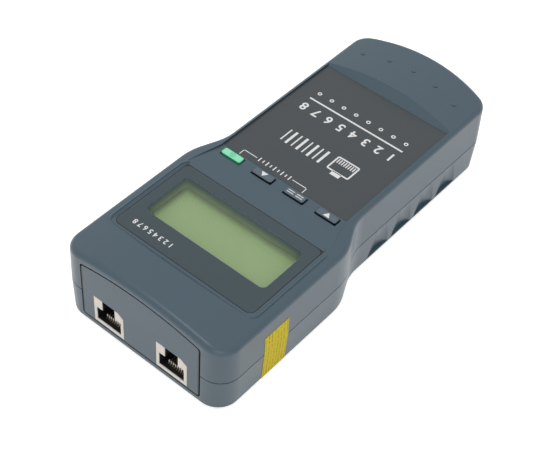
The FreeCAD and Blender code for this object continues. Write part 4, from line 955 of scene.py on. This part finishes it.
class TESTER_OT_stage(bpy.types.Operator):
    """Lay the pale floor, hang the softboxes and place the camera"""
    bl_idname = "tester.stage"
    bl_label = "Stage"

    def execute(self, context):
        stage = context.scene.tester_stage
        self.floor(stage)
        self.walls(context.scene, stage)
        overhead, side = (-0.16, -0.17, 0.97), (0.62, -0.62, 0.42)
        self.softbox("OverheadSoftbox", overhead, 0.30, stage.key_light)
        self.softbox("SideSoftbox", side, 0.60, stage.side_light)
        self.camera(context.scene, stage)
        context.scene.view_settings.view_transform = "Standard"
        return {"FINISHED"}

    def seen(self, tree):
        """1 for camera, glossy and transmission rays."""
        path = tree.nodes.new("ShaderNodeLightPath")
        eye = math_node(tree, "MAXIMUM", path.outputs["Is Camera Ray"],
                        path.outputs["Is Transmission Ray"])
        return math_node(tree, "MAXIMUM", eye, path.outputs["Is Glossy Ray"])

    def floor(self, stage):
        """Pale floor that shows white to the eye, keeps the shadow and is clear from below."""
        bpy.ops.object.select_all(action="DESELECT")
        width, drop = 6.0, 0.05 * MM
        bpy.ops.mesh.primitive_plane_add(size=width, location=(0, 0, -drop))
        floor = bpy.context.object
        floor.name = "StudioFloor"
        material = bpy.data.materials.new("PaleFloor")
        material.use_nodes = True
        tree = material.node_tree
        shader = tree.nodes["Principled BSDF"]
        shader.inputs["Base Color"].default_value = (0.92, 0.92, 0.92, 1.0)
        shader.inputs["Roughness"].default_value = 0.9
        shader.inputs["Specular IOR Level"].default_value = 0.0
        shader.inputs["Emission Color"].default_value = (1.0, 1.0, 1.0, 1.0)
        tree.links.new(math_node(tree, "MULTIPLY", self.seen(tree), stage.floor_glow),
                       shader.inputs["Emission Strength"])
        clear = tree.nodes.new("ShaderNodeBsdfTransparent")
        mix = tree.nodes.new("ShaderNodeMixShader")
        side = tree.nodes.new("ShaderNodeNewGeometry")
        tree.links.new(side.outputs["Backfacing"], mix.inputs[0])
        tree.links.new(shader.outputs[0], mix.inputs[1])
        tree.links.new(clear.outputs[0], mix.inputs[2])
        tree.links.new(mix.outputs[0], tree.nodes["Material Output"].inputs["Surface"])
        floor.data.materials.append(material)

    def walls(self, scene, stage):
        """Surroundings: white as they are seen, and as light dim at the floor and pale above."""
        world = bpy.data.worlds.new("StudioWalls")
        scene.world = world
        world.use_nodes = True
        tree = world.node_tree
        background = tree.nodes["Background"]
        background.inputs["Color"].default_value = (1.0, 1.0, 1.0, 1.0)
        direction = tree.nodes.new("ShaderNodeTexCoord")
        split = tree.nodes.new("ShaderNodeSeparateXYZ")
        tree.links.new(direction.outputs["Generated"], split.inputs[0])
        dim_below, full_above = 0.20, 1.0
        height = soft_step(tree, split.outputs["Z"], dim_below, full_above)
        rise = math_node(tree, "MULTIPLY", height, stage.zenith - stage.horizon)
        light = math_node(tree, "ADD", rise, stage.horizon)
        tree.links.new(math_node(tree, "MAXIMUM", light, self.seen(tree)),
                       background.inputs["Strength"])

    def softbox(self, name, place, size, power):
        """Square area lamp aimed at the tester."""
        lamp = bpy.data.lights.new(name, "AREA")
        lamp.shape = "SQUARE"
        lamp.size = size
        lamp.energy = power
        thing = bpy.data.objects.new(name, lamp)
        bpy.context.scene.collection.objects.link(thing)
        thing.location = place
        middle = Vector((0, 0, 20 * MM))
        towards = middle - Vector(place)
        thing.rotation_euler = towards.to_track_quat("-Z", "Y").to_euler()

    def camera(self, scene, stage):
        """Camera at the azimuth, elevation and roll of the settings."""
        back = Vector((math.sin(stage.azimuth) * math.cos(stage.elevation),
                       -math.cos(stage.azimuth) * math.cos(stage.elevation),
                       math.sin(stage.elevation)))
        level = Vector((math.cos(stage.azimuth), math.sin(stage.azimuth), 0.0))
        upward = back.cross(level)
        right = level * math.cos(stage.roll) + upward * math.sin(stage.roll)
        up = back.cross(right)
        turn = Matrix((right, up, back)).transposed().to_4x4()
        lens = bpy.data.cameras.new("StudioCamera")
        lens.lens = stage.lens
        lens.sensor_fit = "HORIZONTAL"
        lens.sensor_width = SENSOR_WIDTH
        lens.clip_start = CLIP_START
        camera = bpy.data.objects.new("StudioCamera", lens)
        scene.collection.objects.link(camera)
        camera.matrix_world = Matrix.Translation(
            Vector(stage.aim) + back * stage.distance) @ turn
        scene.camera = camera


class TESTER_PT_panel(bpy.types.Panel):
    """Buttons and settings of the cable tester"""
    bl_idname = "TESTER_PT_panel"
    bl_label = "Cable Tester"
    bl_space_type = "VIEW_3D"
    bl_region_type = "UI"
    bl_category = "Cable Tester"

    def draw(self, context):
        layout = self.layout
        for operator in STEPS:
            layout.operator(operator.bl_idname)
        for group in ("tester_colours", "tester_sizes", "tester_stage"):
            settings = getattr(context.scene, group)
            for name in settings.__annotations__:
                layout.prop(settings, name)


STEPS = (TESTER_OT_shells, TESTER_OT_display, TESTER_OT_keys, TESTER_OT_label, TESTER_OT_sockets,
         TESTER_OT_inside, TESTER_OT_seal, TESTER_OT_stage)
CLASSES = (TesterColours, TesterSizes, TesterStage) + STEPS + (TESTER_PT_panel,)


def register():
    """Register the classes and hang the settings on the scene."""
    for cls in CLASSES:
        bpy.utils.register_class(cls)
    bpy.types.Scene.tester_colours = PointerProperty(type=TesterColours)
    bpy.types.Scene.tester_sizes = PointerProperty(type=TesterSizes)
    bpy.types.Scene.tester_stage = PointerProperty(type=TesterStage)


def unregister():
    """Take the settings off the scene and unregister the classes."""
    del bpy.types.Scene.tester_stage
    del bpy.types.Scene.tester_sizes
    del bpy.types.Scene.tester_colours
    for cls in reversed(CLASSES):
        bpy.utils.unregister_class(cls)


def main():
    """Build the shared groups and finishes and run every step."""
    register()
    scene = bpy.context.scene
    build_surface_group()
    build_frame_group()
    FINISHES.update(moulded_materials(scene.tester_colours, scene.tester_sizes))
    for step in STEPS:
        namespace, name = step.bl_idname.split(".")
        getattr(getattr(bpy.ops, namespace), name)()


if __name__ == "__main__":
    main()
